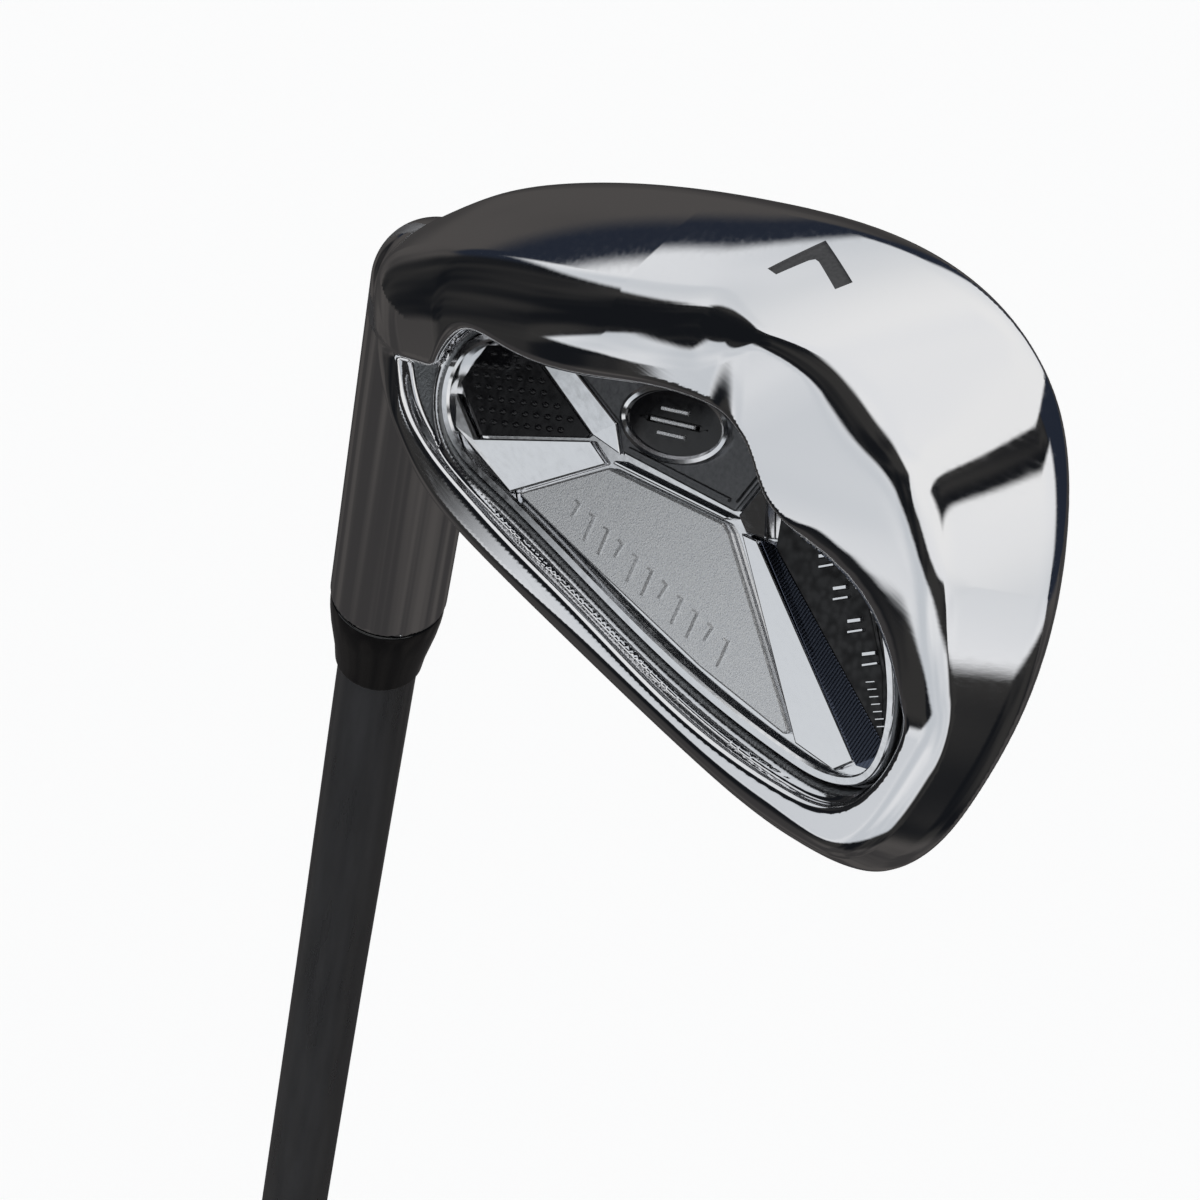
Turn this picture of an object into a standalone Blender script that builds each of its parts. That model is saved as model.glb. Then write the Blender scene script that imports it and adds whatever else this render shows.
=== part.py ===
"""Left-handed cavity-back 7-iron golf club, modelled piece by piece.

The shaft's axis is the Z axis.  The grip's butt end lies at z = 0 and the head is at the top,
with its cavity side towards -Y, its striking face towards +Y and its toe towards +X.
Dimensions below are in millimetres and degrees; meshes are written in metres.
"""
import math

import bmesh
import bpy
import numpy as np
from mathutils import Matrix, Vector

MM = 0.001

# ---- driving dimensions -----------------------------------------------------------------------
CLUB_LENGTH = 940.0          # ground point of the shaft axis to the butt end of the grip
LIE = math.radians(62.0)     # shaft to ground
LOFT = math.radians(33.0)    # face to vertical
AXIS_SET = 2.8               # shaft axis behind the leading edge

FACE_THICKNESS = 2.6
EDGE_START = 1.2             # depth at which the outline is widest
RIM_DEPTH = 6.0              # rim height over the face, along the top of the cavity
BULGE_DEPTH = 15.3           # deepest point of the back wall, on the heel side
BULGE_X, BULGE_U = 33.0, 12.0
BULGE_TO_HEEL, BULGE_TO_TOE, BULGE_UP = 0.13, 0.22, 0.35
HEEL_ROLL_X, HEEL_ROLL = 8.0, 0.55
TOE_FACET_DEPTH = 12.0       # toe side facet of the back wall, at its heel end
TOE_FACET_X = 47.5
SOLE_CAMBER_RADIUS = 26.0
LEDGE_DEPTH = 4.4            # top of the step around the badge

HOSEL_RADIUS = 6.75
HOSEL_START = 14.0           # along the shaft axis from the ground
HOSEL_END = 63.0
BORE_RADIUS = 5.6
BORE_DEPTH = 32.0

FERRULE_LENGTH = 11.5
FERRULE_RIM_RADIUS = 6.6
SHAFT_TIP_RADIUS = 4.7
SHAFT_BUTT_RADIUS = 7.6
SHAFT_PARALLEL = 110.0       # length at the tip with no taper
SHAFT_TIP_WALL = 1.6
SHAFT_BUTT_WALL = 0.9
SHAFT_BUTT_Z = 6.0

GRIP_LENGTH = 266.0
GRIP_BUTT_RADIUS = 13.3
GRIP_MOUTH_RADIUS = 9.6
CAP_THICKNESS = 4.5
VENT_RADIUS = 1.6
TAPE_THICKNESS = 0.3

GROOVE_COUNT = 11
GROOVE_PITCH = 3.3
GROOVE_WIDTH = 0.9
GROOVE_DEPTH = 0.5

GAP = 0.3                    # clearance between pieces that touch
ROUND_SIDES = 48             # sides of every turned piece, so that they nest
STATIONS = 96                # stations around the head's rings
HEAD_CENTRE = (38.0, 27.0)   # the rings' stations are polar about this point of the face

# ---- outlines in the face plane: x from heel to toe, u from sole to topline ---------------------
BLADE_OUTLINE = [
    (-8.2, 10.2), (-1.0, 4.6), (6.0, 1.7), (14.0, -0.1), (28.0, -1.4), (41.0, -1.35), (54.4, 0.1),
    (66.1, 4.7), (73.3, 12.0), (76.2, 21.0), (76.7, 29.0), (75.5, 37.4), (72.8, 44.9),
    (69.1, 51.0), (64.3, 54.1), (58.4, 54.2), (43.7, 49.9), (28.0, 43.5), (13.0, 37.0),
    (3.5, 31.8), (-3.5, 25.0), (-8.2, 17.0)]
CAVITY_LIP = [
    (9.0, 16.4), (20.0, 16.9), (33.0, 17.6), (44.5, 18.0), (48.6, 20.2), (51.4, 24.4),
    (56.6, 27.6), (62.4, 30.6), (65.4, 35.0), (66.6, 40.4), (65.9, 45.0), (62.4, 48.6),
    (56.0, 48.7), (43.0, 45.0), (27.0, 37.8), (13.0, 30.4), (7.2, 25.6), (6.0, 20.0)]
CAVITY_FOOT = [
    (10.0, 13.3), (24.0, 13.0), (40.0, 13.0), (48.4, 14.2), (55.6, 20.2), (62.4, 28.0),
    (66.7, 36.0), (67.4, 42.6), (65.7, 47.2), (61.4, 48.6), (55.6, 47.8), (43.4, 43.8),
    (29.4, 37.6), (14.4, 30.8), (6.4, 25.4), (5.2, 20.4), (6.4, 15.6)]
BADGE_OUTLINE = [
    (11.6, 15.2), (24.0, 14.3), (40.0, 14.0), (47.6, 15.0), (54.6, 20.8), (61.0, 28.4),
    (65.0, 36.4), (65.8, 42.4), (64.4, 45.8), (60.8, 47.0), (55.6, 46.2), (43.8, 42.4),
    (30.0, 36.4), (15.0, 29.6), (7.6, 24.8), (6.6, 20.6), (8.2, 17.2)]
SATIN_PANEL = [(18.2, 29.6), (29.3, 24.9), (43.6, 27.9), (55.4, 44.2), (44.2, 41.0), (30.4, 34.8)]
HEEL_PANEL = [(11.0, 16.4), (16.4, 16.0), (26.2, 22.7), (11.8, 25.2), (8.0, 20.6)]
BEZEL_PANEL = [(20.5, 15.4), (45.6, 15.6), (47.6, 22.6), (44.6, 26.6), (30.4, 23.7), (29.2, 20.8)]
TOE_PANEL = [(49.2, 18.4), (54.2, 22.4), (60.0, 29.6), (63.8, 36.8), (64.9, 42.8), (49.5, 28.4)]
TOE_FIN = [(46.6, 28.6), (48.4, 28.4), (64.6, 43.8), (63.4, 45.4), (56.6, 44.2)]
MEDALLION_CENTRE = (36.4, 19.9)
MEDALLION_RX, MEDALLION_RU = 6.6, 3.7
BADGE_BOTTOM = 3.7
BADGE_POCKET = 4.2
BADGE_TOP = 5.5
SOLE_DIGIT = [(0.2, -1.9), (3.9, -1.9), (2.6, -9.3), (4.3, -9.3), (5.8, -0.6), (5.8, 0.0),
              (0.0, 0.0)]
DIGIT_X, DIGIT_Y, DIGIT_LIFT = 44.6, 8.1, 0.0
DIGIT_TURN = math.radians(29.0)
DIGIT_TILT_FRONT, DIGIT_TILT_TOE = math.radians(7.0), math.radians(6.0)

# ---- frames --------------------------------------------------------------------------------------
# HEAD: x heel to toe, y face to back, z up at address, origin on the ground below the heel.
# BLADE: x heel to toe, y depth behind the face plane, z up along the face.
HEAD = Matrix((
    (math.sin(LIE), 0.0, math.cos(LIE), 0.0),
    (0.0, -1.0, 0.0, AXIS_SET * MM),
    (math.cos(LIE), 0.0, -math.sin(LIE), CLUB_LENGTH * MM),
    (0.0, 0.0, 0.0, 1.0)))
BLADE = HEAD @ Matrix.Rotation(-LOFT, 4, "X")

parts = bpy.data.collections.new("iron_golf_club")
cutters = bpy.data.collections.new("cutters")


def axis_z(distance_from_ground):
    """Height in the club's frame of a point on the shaft axis, in millimetres."""
    return CLUB_LENGTH - distance_from_ground


def material(name, colour, roughness, metallic=0.0):
    mat = bpy.data.materials.new(name)
    mat.use_nodes = True
    shader = mat.node_tree.nodes["Principled BSDF"]
    shader.inputs["Base Color"].default_value = (*colour, 1.0)
    shader.inputs["Roughness"].default_value = roughness
    shader.inputs["Metallic"].default_value = metallic
    return mat


def new_object(name, mesh, matrix, mat=None, collection=None):
    obj = bpy.data.objects.new(name, mesh)
    obj.matrix_world = matrix
    (collection or parts).objects.link(obj)
    if mat:
        mesh.materials.append(mat)
    if collection is cutters:
        obj.hide_render = True
        obj.display_type = "WIRE"
    return obj


def apply_modifiers(obj):
    """Freeze an object's modifiers into its mesh."""
    bpy.context.view_layer.update()
    evaluated = obj.evaluated_get(bpy.context.evaluated_depsgraph_get())
    mesh = bpy.data.meshes.new_from_object(evaluated)
    obj.modifiers.clear()
    obj.data = mesh


def turned(name, profile, matrix, mat=None, collection=None, sides=ROUND_SIDES):
    """Turn a closed (radius, height) profile, given down its outer side, around local Z."""
    mesh = bpy.data.meshes.new(name)
    points = [(r * MM, 0.0, z * MM) for r, z in profile]
    touching = [i for i, (r, z) in enumerate(profile) if r == 0.0]
    edges = [(i, i + 1) for i in range(len(points) - 1)]
    if not touching:
        edges.append((len(points) - 1, 0))
    mesh.from_pydata(points, edges, [])
    obj = new_object(name, mesh, matrix, mat, collection)
    screw = obj.modifiers.new("turn", "SCREW")
    screw.axis = "Z"
    screw.steps = screw.render_steps = sides
    screw.use_merge_vertices = True
    screw.merge_threshold = 0.00001
    screw.use_smooth_shade = True
    apply_modifiers(obj)
    obj.data.set_sharp_from_angle(angle=math.radians(35.0))
    return obj


def plate(name, outline, low, high, mat=None, collection=None, frame=BLADE, bevel=0.0):
    """A flat outline in the frame's x-z plane, filled between two depths along its y."""
    curve = bpy.data.curves.new(name, "CURVE")
    curve.dimensions = "2D"
    curve.fill_mode = "BOTH"
    curve.extrude = 0.5 * (high - low) * MM
    spline = curve.splines.new("POLY")
    spline.points.add(len(outline) - 1)
    for point, (x, u) in zip(spline.points, outline):
        point.co = (x * MM, u * MM, 0.0, 1.0)
    spline.use_cyclic_u = True
    flat = bpy.data.objects.new(name + "_curve", curve)
    depth = Matrix.Translation((0.0, 0.5 * (low + high) * MM, 0.0))
    flat.matrix_world = frame @ depth @ Matrix.Rotation(math.pi / 2, 4, "X")
    parts.objects.link(flat)
    bpy.context.view_layer.update()
    evaluated = flat.evaluated_get(bpy.context.evaluated_depsgraph_get())
    mesh = bpy.data.meshes.new_from_object(evaluated)
    matrix = flat.matrix_world.copy()
    bpy.data.objects.remove(flat)
    bm = bmesh.new()
    bm.from_mesh(mesh)
    bmesh.ops.remove_doubles(bm, verts=bm.verts, dist=1e-6)
    bmesh.ops.recalc_face_normals(bm, faces=bm.faces)
    bm.to_mesh(mesh)
    bm.free()
    obj = new_object(name, mesh, matrix, mat, collection)
    if bevel:
        rounding = obj.modifiers.new("edges", "BEVEL")
        rounding.width = bevel * MM
        rounding.segments = 1
        rounding.limit_method = "ANGLE"
        rounding.angle_limit = math.radians(40.0)
        apply_modifiers(obj)
    return obj


def boolean(obj, cutter, operation="DIFFERENCE"):
    change = obj.modifiers.new(operation.lower(), "BOOLEAN")
    change.object = cutter
    change.operation = operation
    change.solver = "EXACT"
    apply_modifiers(obj)


def smooth_loop(points, steps=8):
    """Closed smooth curve through the points (uniform Catmull-Rom)."""
    knots = np.array(points)
    before, after = np.roll(knots, 1, axis=0), np.roll(knots, -1, axis=0)
    tangent = 0.5 * (after - before)
    samples = []
    for i in range(len(knots)):
        j = (i + 1) % len(knots)
        for k in range(steps):
            t = k / steps
            samples.append((2 * t**3 - 3 * t**2 + 1) * knots[i] + (t**3 - 2 * t**2 + t) * tangent[i]
                           + (3 * t**2 - 2 * t**3) * knots[j] + (t**3 - t**2) * tangent[j])
    return np.array(samples)


def inset_loop(loop, distance):
    """Move a counter-clockwise loop inwards."""
    along = np.roll(loop, -1, axis=0) - np.roll(loop, 1, axis=0)
    along /= np.linalg.norm(along, axis=1)[:, None]
    return loop + distance * np.stack([-along[:, 1], along[:, 0]], axis=1)


def polar_stations(points):
    """Points of a smooth loop at even angles about the head's centre."""
    loop = smooth_loop(points, 16) - HEAD_CENTRE
    angle = np.unwrap(np.arctan2(loop[:, 1], loop[:, 0]))
    order = np.argsort(angle % (2 * math.pi))
    wanted = np.arange(STATIONS) * 2 * math.pi / STATIONS
    radius = np.interp(wanted, (angle % (2 * math.pi))[order],
                       np.linalg.norm(loop, axis=1)[order], period=2 * math.pi)
    return np.stack([np.cos(wanted), np.sin(wanted)], axis=1) * radius[:, None] + HEAD_CENTRE


def back_depth(points):
    """Depth of the back surface: a rim, a bulge behind the heel side and a toe facet."""
    x, u = points[:, 0], points[:, 1]
    bulge = BULGE_DEPTH - BULGE_UP * (u - BULGE_U)
    bulge -= np.where(x < BULGE_X, BULGE_TO_HEEL * (BULGE_X - x), BULGE_TO_TOE * (x - BULGE_X))
    bulge -= HEEL_ROLL * np.maximum(HEEL_ROLL_X - x, 0.0)
    facet = TOE_FACET_DEPTH - 0.026 * (x - TOE_FACET_X) - 0.054 * (u - BULGE_U)
    facet = np.minimum(facet, TOE_FACET_DEPTH + x - TOE_FACET_X)
    fall = 9.5 - 0.40 * (u - 31.5)
    return np.maximum(RIM_DEPTH, np.minimum(fall, np.maximum(bulge, facet)))


def side_inset(normal, depth):
    """How far the side surface has moved in from the outline at a depth behind the face."""
    down, up = np.maximum(-normal[:, 1], 0.0), np.maximum(normal[:, 1], 0.0)
    toe, heel = np.maximum(normal[:, 0], 0.0), np.maximum(-normal[:, 0], 0.0)
    slope = (math.tan(LOFT) * down**2 + 0.35 * up**2 + 0.75 * toe**2 + 0.50 * heel**2
             + 1.00 * down * toe)
    run = np.maximum(depth - EDGE_START, 0.0)
    return slope * run + down**2 * run**2 / (2 * SOLE_CAMBER_RADIUS)


def blade_mesh():
    """Rings from the face, over the sides and the rim, down into the cavity."""
    outline = polar_stations(BLADE_OUTLINE)
    along = np.roll(outline, -1, axis=0) - np.roll(outline, 1, axis=0)
    normal = np.stack([along[:, 1], -along[:, 0]], axis=1)
    normal /= np.linalg.norm(normal, axis=1)[:, None]

    def at(points, depth):
        return np.column_stack([points[:, 0], np.broadcast_to(depth, len(points)), points[:, 1]])

    ridge = back_depth(outline)
    for _ in range(12):
        edge = outline - normal * side_inset(normal, ridge)[:, None]
        ridge = 0.5 * (ridge + back_depth(edge))
    rings = [at(outline - 0.9 * normal, 0.0), at(outline - 0.25 * normal, 0.4)]
    for part in (0.0, 0.33, 0.66, 0.93):
        depth = EDGE_START + part * (ridge - EDGE_START)
        rings.append(at(outline - normal * side_inset(normal, depth)[:, None], depth))
    inner = edge - 0.6 * normal
    rings.append(at(inner, back_depth(inner)))
    lip = polar_stations(CAVITY_LIP)
    foot = polar_stations(CAVITY_FOOT)
    badge = inset_loop(polar_stations(BADGE_OUTLINE), -0.6)
    rings.append(at(lip, back_depth(lip)))
    rings.append(at(foot, LEDGE_DEPTH))
    rings.append(at(0.5 * (foot + badge), LEDGE_DEPTH))
    rings.append(at(badge, FACE_THICKNESS + 0.6))
    rings.append(at(badge, FACE_THICKNESS))

    mesh = bpy.data.meshes.new("head_casting")
    bm = bmesh.new()
    loops = [[bm.verts.new(Vector(p) * MM) for p in ring] for ring in rings]
    bm.faces.new(loops[0])
    bm.faces.new(list(reversed(loops[-1])))
    for lower, upper in zip(loops, loops[1:]):
        for i in range(STATIONS):
            j = (i + 1) % STATIONS
            bm.faces.new((lower[j], lower[i], upper[i], upper[j]))
    bmesh.ops.recalc_face_normals(bm, faces=bm.faces)
    bm.to_mesh(mesh)
    bm.free()
    return mesh


def axis_matrix(distance_from_ground):
    """Frame on the shaft axis, with local Z towards the grip."""
    return (Matrix.Translation((0.0, 0.0, axis_z(distance_from_ground) * MM))
            @ Matrix.Rotation(math.pi, 4, "X"))


def neck_hull(name):
    """Convex web between the lower hosel and the heel end of the blade."""
    bm = bmesh.new()
    for distance in (14.0, 34.0):
        frame = axis_matrix(distance)
        for k in range(ROUND_SIDES):
            a = 2 * math.pi * k / ROUND_SIDES
            rim = Vector((HOSEL_RADIUS * math.cos(a), HOSEL_RADIUS * math.sin(a), 0.0))
            bm.verts.new(frame @ (rim * MM))
    for x, depth, u in ((3.0, 0.4, 4.6), (3.0, 4.0, 7.0), (-1.0, 5.4, 20.0), (3.0, 5.0, 13.0),
                        (1.0, 0.4, 29.0), (1.0, 4.8, 27.0)):
        bm.verts.new(BLADE @ (Vector((x, depth, u)) * MM))
    hull = bmesh.ops.convex_hull(bm, input=bm.verts)
    inside = {e for e in hull["geom_interior"] if isinstance(e, bmesh.types.BMVert)}
    bmesh.ops.delete(bm, geom=list(inside), context="VERTS")
    bmesh.ops.recalc_face_normals(bm, faces=bm.faces)
    mesh = bpy.data.meshes.new(name)
    bm.to_mesh(mesh)
    bm.free()
    return new_object(name, mesh, Matrix.Identity(4), None, cutters)


def digit_frame():
    """Frame on the sole where the number is cut, its y axis pointing into the metal."""
    place = Matrix.Translation(Vector((DIGIT_X, DIGIT_Y, DIGIT_LIFT)) * MM)
    tilt = (Matrix.Rotation(DIGIT_TILT_FRONT, 4, "X") @ Matrix.Rotation(-DIGIT_TILT_TOE, 4, "Y"))
    upright = Matrix(((0, 0, -1, 0), (-1, 0, 0, 0), (0, 1, 0, 0), (0, 0, 0, 1)))
    return HEAD @ place @ tilt @ upright @ Matrix.Rotation(DIGIT_TURN, 4, "Y")


def add_head(steel):
    head = new_object("head_casting", blade_mesh(), BLADE, steel)
    boolean(head, neck_hull("neck_web"), "UNION")
    length = HOSEL_END - HOSEL_START
    bulb = [(HOSEL_RADIUS * math.cos(a), -HOSEL_RADIUS * math.sin(a))
            for a in np.linspace(0.0, math.pi / 2, 7)[1:-1]]
    profile = [(0.0, length), (HOSEL_RADIUS - 0.4, length), (HOSEL_RADIUS, length - 0.4),
               (HOSEL_RADIUS, 0.0)] + bulb + [(0.0, -HOSEL_RADIUS)]
    hosel = turned("hosel_body", profile, axis_matrix(HOSEL_START), None, cutters)
    boolean(head, hosel, "UNION")
    bore = turned("hosel_bore", [(0.0, 5.0), (BORE_RADIUS, 5.0), (BORE_RADIUS, -BORE_DEPTH),
                                 (0.0, -BORE_DEPTH - 1.5)], axis_matrix(HOSEL_END), None, cutters)
    boolean(head, bore)
    for row in range(GROOVE_COUNT):
        u = 3.6 + row * GROOVE_PITCH
        start = 15.0 + max(0.0, u - 33.0) * 2.0
        end = 62.0 - max(0.0, 7.0 - u) * 2.5
        outline = [(start, u - GROOVE_WIDTH / 2), (end, u - GROOVE_WIDTH / 2),
                   (end, u + GROOVE_WIDTH / 2), (start, u + GROOVE_WIDTH / 2)]
        boolean(head, plate("groove_%02d" % row, outline, -1.0, GROOVE_DEPTH, None, cutters))
    boolean(head, plate("digit_cut", SOLE_DIGIT, -3.0, 1.1, None, cutters, digit_frame()))
    head.data.shade_smooth()
    head.data.set_sharp_from_angle(angle=math.radians(30.0))


def ellipse(centre, rx, ru, count=36):
    angles = [2 * math.pi * k / count for k in range(count)]
    return [(centre[0] + rx * math.cos(a), centre[1] + ru * math.sin(a)) for a in angles]


def shrink(outline, distance):
    """Inset a convex polygon by moving each side inwards."""
    count = len(outline)
    result = []
    for i in range(count):
        before, here, after = (Vector(outline[i - 1]), Vector(outline[i]),
                               Vector(outline[(i + 1) % count]))
        first, second = (here - before).normalized(), (after - here).normalized()
        normal_sum = Vector((-first.y - second.y, first.x + second.x))
        scale = distance * 2.0 / max(normal_sum.length_squared, 0.4)
        result.append(tuple(here + normal_sum * scale))
    return result


def add_badge(chrome, satin, black_gloss, black_grain, grey, tape):
    outline = [tuple(p) for p in smooth_loop(BADGE_OUTLINE, 4)]
    shrunk = [tuple(p) for p in inset_loop(smooth_loop(BADGE_OUTLINE, 4), 1.0)]
    plate("badge_adhesive", shrunk, FACE_THICKNESS + GAP, BADGE_BOTTOM - GAP, tape)
    base = plate("badge_frame", outline, BADGE_BOTTOM, BADGE_TOP, chrome, bevel=0.25)
    panels = {"satin_panel": (SATIN_PANEL, satin), "heel_panel": (HEEL_PANEL, black_gloss),
              "toe_panel": (TOE_PANEL, black_grain), "medallion_bezel": (BEZEL_PANEL, grey)}
    for name, (shape, mat) in panels.items():
        boolean(base, plate(name + "_pocket", shape, BADGE_POCKET, BADGE_TOP + 2.0, None, cutters))
        plate(name, shrink(shape, GAP), BADGE_POCKET + GAP, BADGE_TOP - 0.25, mat)
    seat = plate("fin_seat", TOE_FIN, BADGE_TOP - 0.4, BADGE_TOP + 2.0, None, cutters)
    boolean(base, seat)
    fin = plate("toe_fin", shrink(TOE_FIN, GAP), BADGE_TOP - 0.1, BADGE_TOP + 0.7, chrome, bevel=0.3)
    fin.data.shade_smooth()
    bezel = bpy.data.objects["medallion_bezel"]
    hole = plate("medallion_hole", ellipse(MEDALLION_CENTRE, MEDALLION_RX, MEDALLION_RU),
                 0.0, BADGE_TOP + 2.0, None, cutters)
    boolean(bezel, hole)
    ring_outer = ellipse(MEDALLION_CENTRE, MEDALLION_RX - GAP, MEDALLION_RU - GAP)
    ring_inner = ellipse(MEDALLION_CENTRE, MEDALLION_RX - 0.9, MEDALLION_RU - 0.9)
    ring = plate("medallion_ring", ring_outer, BADGE_POCKET + GAP, BADGE_TOP, chrome)
    boolean(ring, plate("ring_hole", ring_inner, 0.0, BADGE_TOP + 2.0, None, cutters))
    disc = ellipse(MEDALLION_CENTRE, MEDALLION_RX - 1.2, MEDALLION_RU - 1.2)
    plate("medallion_disc", disc, BADGE_POCKET + GAP, BADGE_TOP - 0.6, black_gloss)
    cx, cu = MEDALLION_CENTRE
    lozenge = [(cx - 2.4, cu), (cx, cu - 1.3), (cx + 2.4, cu), (cx, cu + 1.3)]
    plate("medallion_emblem", lozenge, BADGE_TOP - 0.3, BADGE_TOP - 0.05, chrome)


def shaft_radius(z):
    """Outer radius of the shaft at a height in the club's frame."""
    tip_z = axis_z(HOSEL_END - BORE_DEPTH) - SHAFT_PARALLEL
    part = min(max((tip_z - z) / (tip_z - SHAFT_BUTT_Z), 0.0), 1.0)
    return SHAFT_TIP_RADIUS + part * (SHAFT_BUTT_RADIUS - SHAFT_TIP_RADIUS)


def grip_radius(z):
    """Outer radius of the grip: a quick swell at the butt and a slow taper to the mouth."""
    part = z / GRIP_LENGTH
    swell = GRIP_BUTT_RADIUS - GRIP_MOUTH_RADIUS
    return GRIP_MOUTH_RADIUS + swell * (0.75 * (1.0 - part) + 0.25 * (1.0 - part) ** 6)


def tube(name, stations, outer, inner, mat):
    """A turned tube with outer and inner radii given as functions of height."""
    ordered = sorted(stations, reverse=True)
    profile = [(outer(z), z) for z in ordered] + [(inner(z), z) for z in reversed(ordered)]
    return turned(name, profile, Matrix.Identity(4), mat)


def add_shaft(graphite, ferrule_black, brass, epoxy):
    tip_z = axis_z(HOSEL_END - BORE_DEPTH) - 2.0
    stations = [tip_z, tip_z - SHAFT_PARALLEL + 2.0, 600.0, 400.0, 200.0, SHAFT_BUTT_Z]

    def bore(z):
        part = (z - SHAFT_BUTT_Z) / (tip_z - SHAFT_BUTT_Z)
        wall = SHAFT_BUTT_WALL + part * (SHAFT_TIP_WALL - SHAFT_BUTT_WALL)
        return shaft_radius(z) - wall

    tube("shaft", stations, shaft_radius, bore, graphite)
    hosel_face = axis_z(HOSEL_END)
    sleeve = SHAFT_TIP_RADIUS + GAP
    tube("epoxy_bond", [tip_z - 1.0, hosel_face + 1.0], lambda z: sleeve + 0.3, lambda z: sleeve,
         epoxy)
    stem = bore(tip_z) - GAP
    turned("tip_weight", [(0.0, tip_z + 1.3), (SHAFT_TIP_RADIUS - 0.2, tip_z + 1.3),
                          (SHAFT_TIP_RADIUS - 0.2, tip_z + GAP), (stem, tip_z + GAP),
                          (stem - 0.3, tip_z - 14.0), (0.0, tip_z - 14.0)],
           Matrix.Identity(4), brass)
    top = hosel_face - GAP
    rim = FERRULE_RIM_RADIUS
    profile = [(rim - 0.2, top), (rim, top - 0.4), (rim - 0.15, top - 3.0),
               (rim - 0.6, top - 6.5), (rim - 1.15, top - FERRULE_LENGTH + 0.6),
               (rim - 1.4, top - FERRULE_LENGTH), (sleeve, top - FERRULE_LENGTH), (sleeve, top)]
    turned("ferrule", profile, Matrix.Identity(4), ferrule_black)


def add_grip(rubber, cap_rubber, paper):
    under_tape = GAP
    over_tape = under_tape + TAPE_THICKNESS
    bore = over_tape + GAP
    tube("grip_tape", [8.0, 130.0, GRIP_LENGTH - 12.0],
         lambda z: shaft_radius(z) + over_tape, lambda z: shaft_radius(z) + under_tape, paper)
    stations = [CAP_THICKNESS + GAP, 14.0, 28.0, 50.0, 90.0, 140.0, 200.0, GRIP_LENGTH - 1.5,
                GRIP_LENGTH]
    tube("grip", stations, lambda z: grip_radius(z) - (0.8 if z == GRIP_LENGTH else 0.0),
         lambda z: shaft_radius(z) + bore, rubber)
    butt = GRIP_BUTT_RADIUS
    turned("grip_end_cap", [(butt, CAP_THICKNESS), (butt + 0.1, 1.6), (butt - 0.5, 0.5),
                            (butt - 1.6, 0.0), (VENT_RADIUS, 0.0), (VENT_RADIUS, CAP_THICKNESS)],
           Matrix.Identity(4), cap_rubber)


def build():
    for obj in list(bpy.data.objects):
        bpy.data.objects.remove(obj)
    bpy.context.scene.collection.children.link(parts)
    bpy.context.scene.collection.children.link(cutters)
    steel = material("polished_steel", (0.62, 0.63, 0.66), 0.08, 1.0)
    chrome = material("chrome", (0.80, 0.81, 0.83), 0.05, 1.0)
    satin = material("satin_silver", (0.42, 0.43, 0.45), 0.45, 1.0)
    black_gloss = material("black_gloss", (0.01, 0.01, 0.012), 0.12)
    black_grain = material("black_grain", (0.03, 0.03, 0.03), 0.5)
    grey = material("gunmetal", (0.14, 0.14, 0.15), 0.3, 1.0)
    tape = material("foam_tape", (0.75, 0.75, 0.72), 0.9)
    enamel = material("grey_enamel", (0.05, 0.05, 0.055), 0.4)
    graphite = material("graphite_shaft", (0.035, 0.035, 0.038), 0.3)
    ferrule_black = material("ferrule_black", (0.008, 0.008, 0.01), 0.15)
    brass = material("brass", (0.72, 0.52, 0.22), 0.35, 1.0)
    epoxy = material("cured_epoxy", (0.55, 0.50, 0.36), 0.4)
    rubber = material("grip_rubber", (0.02, 0.02, 0.021), 0.8)
    cap_rubber = material("cap_rubber", (0.03, 0.03, 0.032), 0.6)
    paper = material("grip_tape", (0.70, 0.68, 0.62), 0.8)

    add_head(steel)
    digit = shrink(SOLE_DIGIT, GAP)
    plate("sole_number_fill", digit, 0.5, 0.8, enamel, frame=digit_frame())
    add_badge(chrome, satin, black_gloss, black_grain, grey, tape)
    add_shaft(graphite, ferrule_black, brass, epoxy)
    add_grip(rubber, cap_rubber, paper)


build()
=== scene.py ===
"""Looks for the left-handed 7-iron: smooth polished head, layered badge, shaft and grip."""
import math

import bmesh
import bpy
import numpy as np
from mathutils import Matrix, Vector


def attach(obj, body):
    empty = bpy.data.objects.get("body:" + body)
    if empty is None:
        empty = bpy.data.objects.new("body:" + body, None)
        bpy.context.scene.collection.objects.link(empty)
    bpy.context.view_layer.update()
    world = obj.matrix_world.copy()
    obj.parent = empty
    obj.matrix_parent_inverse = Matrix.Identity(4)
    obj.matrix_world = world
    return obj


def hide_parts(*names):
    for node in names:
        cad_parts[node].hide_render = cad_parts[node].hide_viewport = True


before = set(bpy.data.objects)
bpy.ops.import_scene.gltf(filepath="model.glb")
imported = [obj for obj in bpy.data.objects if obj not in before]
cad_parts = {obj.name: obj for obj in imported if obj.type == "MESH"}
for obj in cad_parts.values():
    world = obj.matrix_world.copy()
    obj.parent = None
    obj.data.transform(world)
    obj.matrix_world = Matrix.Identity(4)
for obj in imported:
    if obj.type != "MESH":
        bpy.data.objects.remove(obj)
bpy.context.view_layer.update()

MM = 0.001
BODY = "root"

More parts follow.
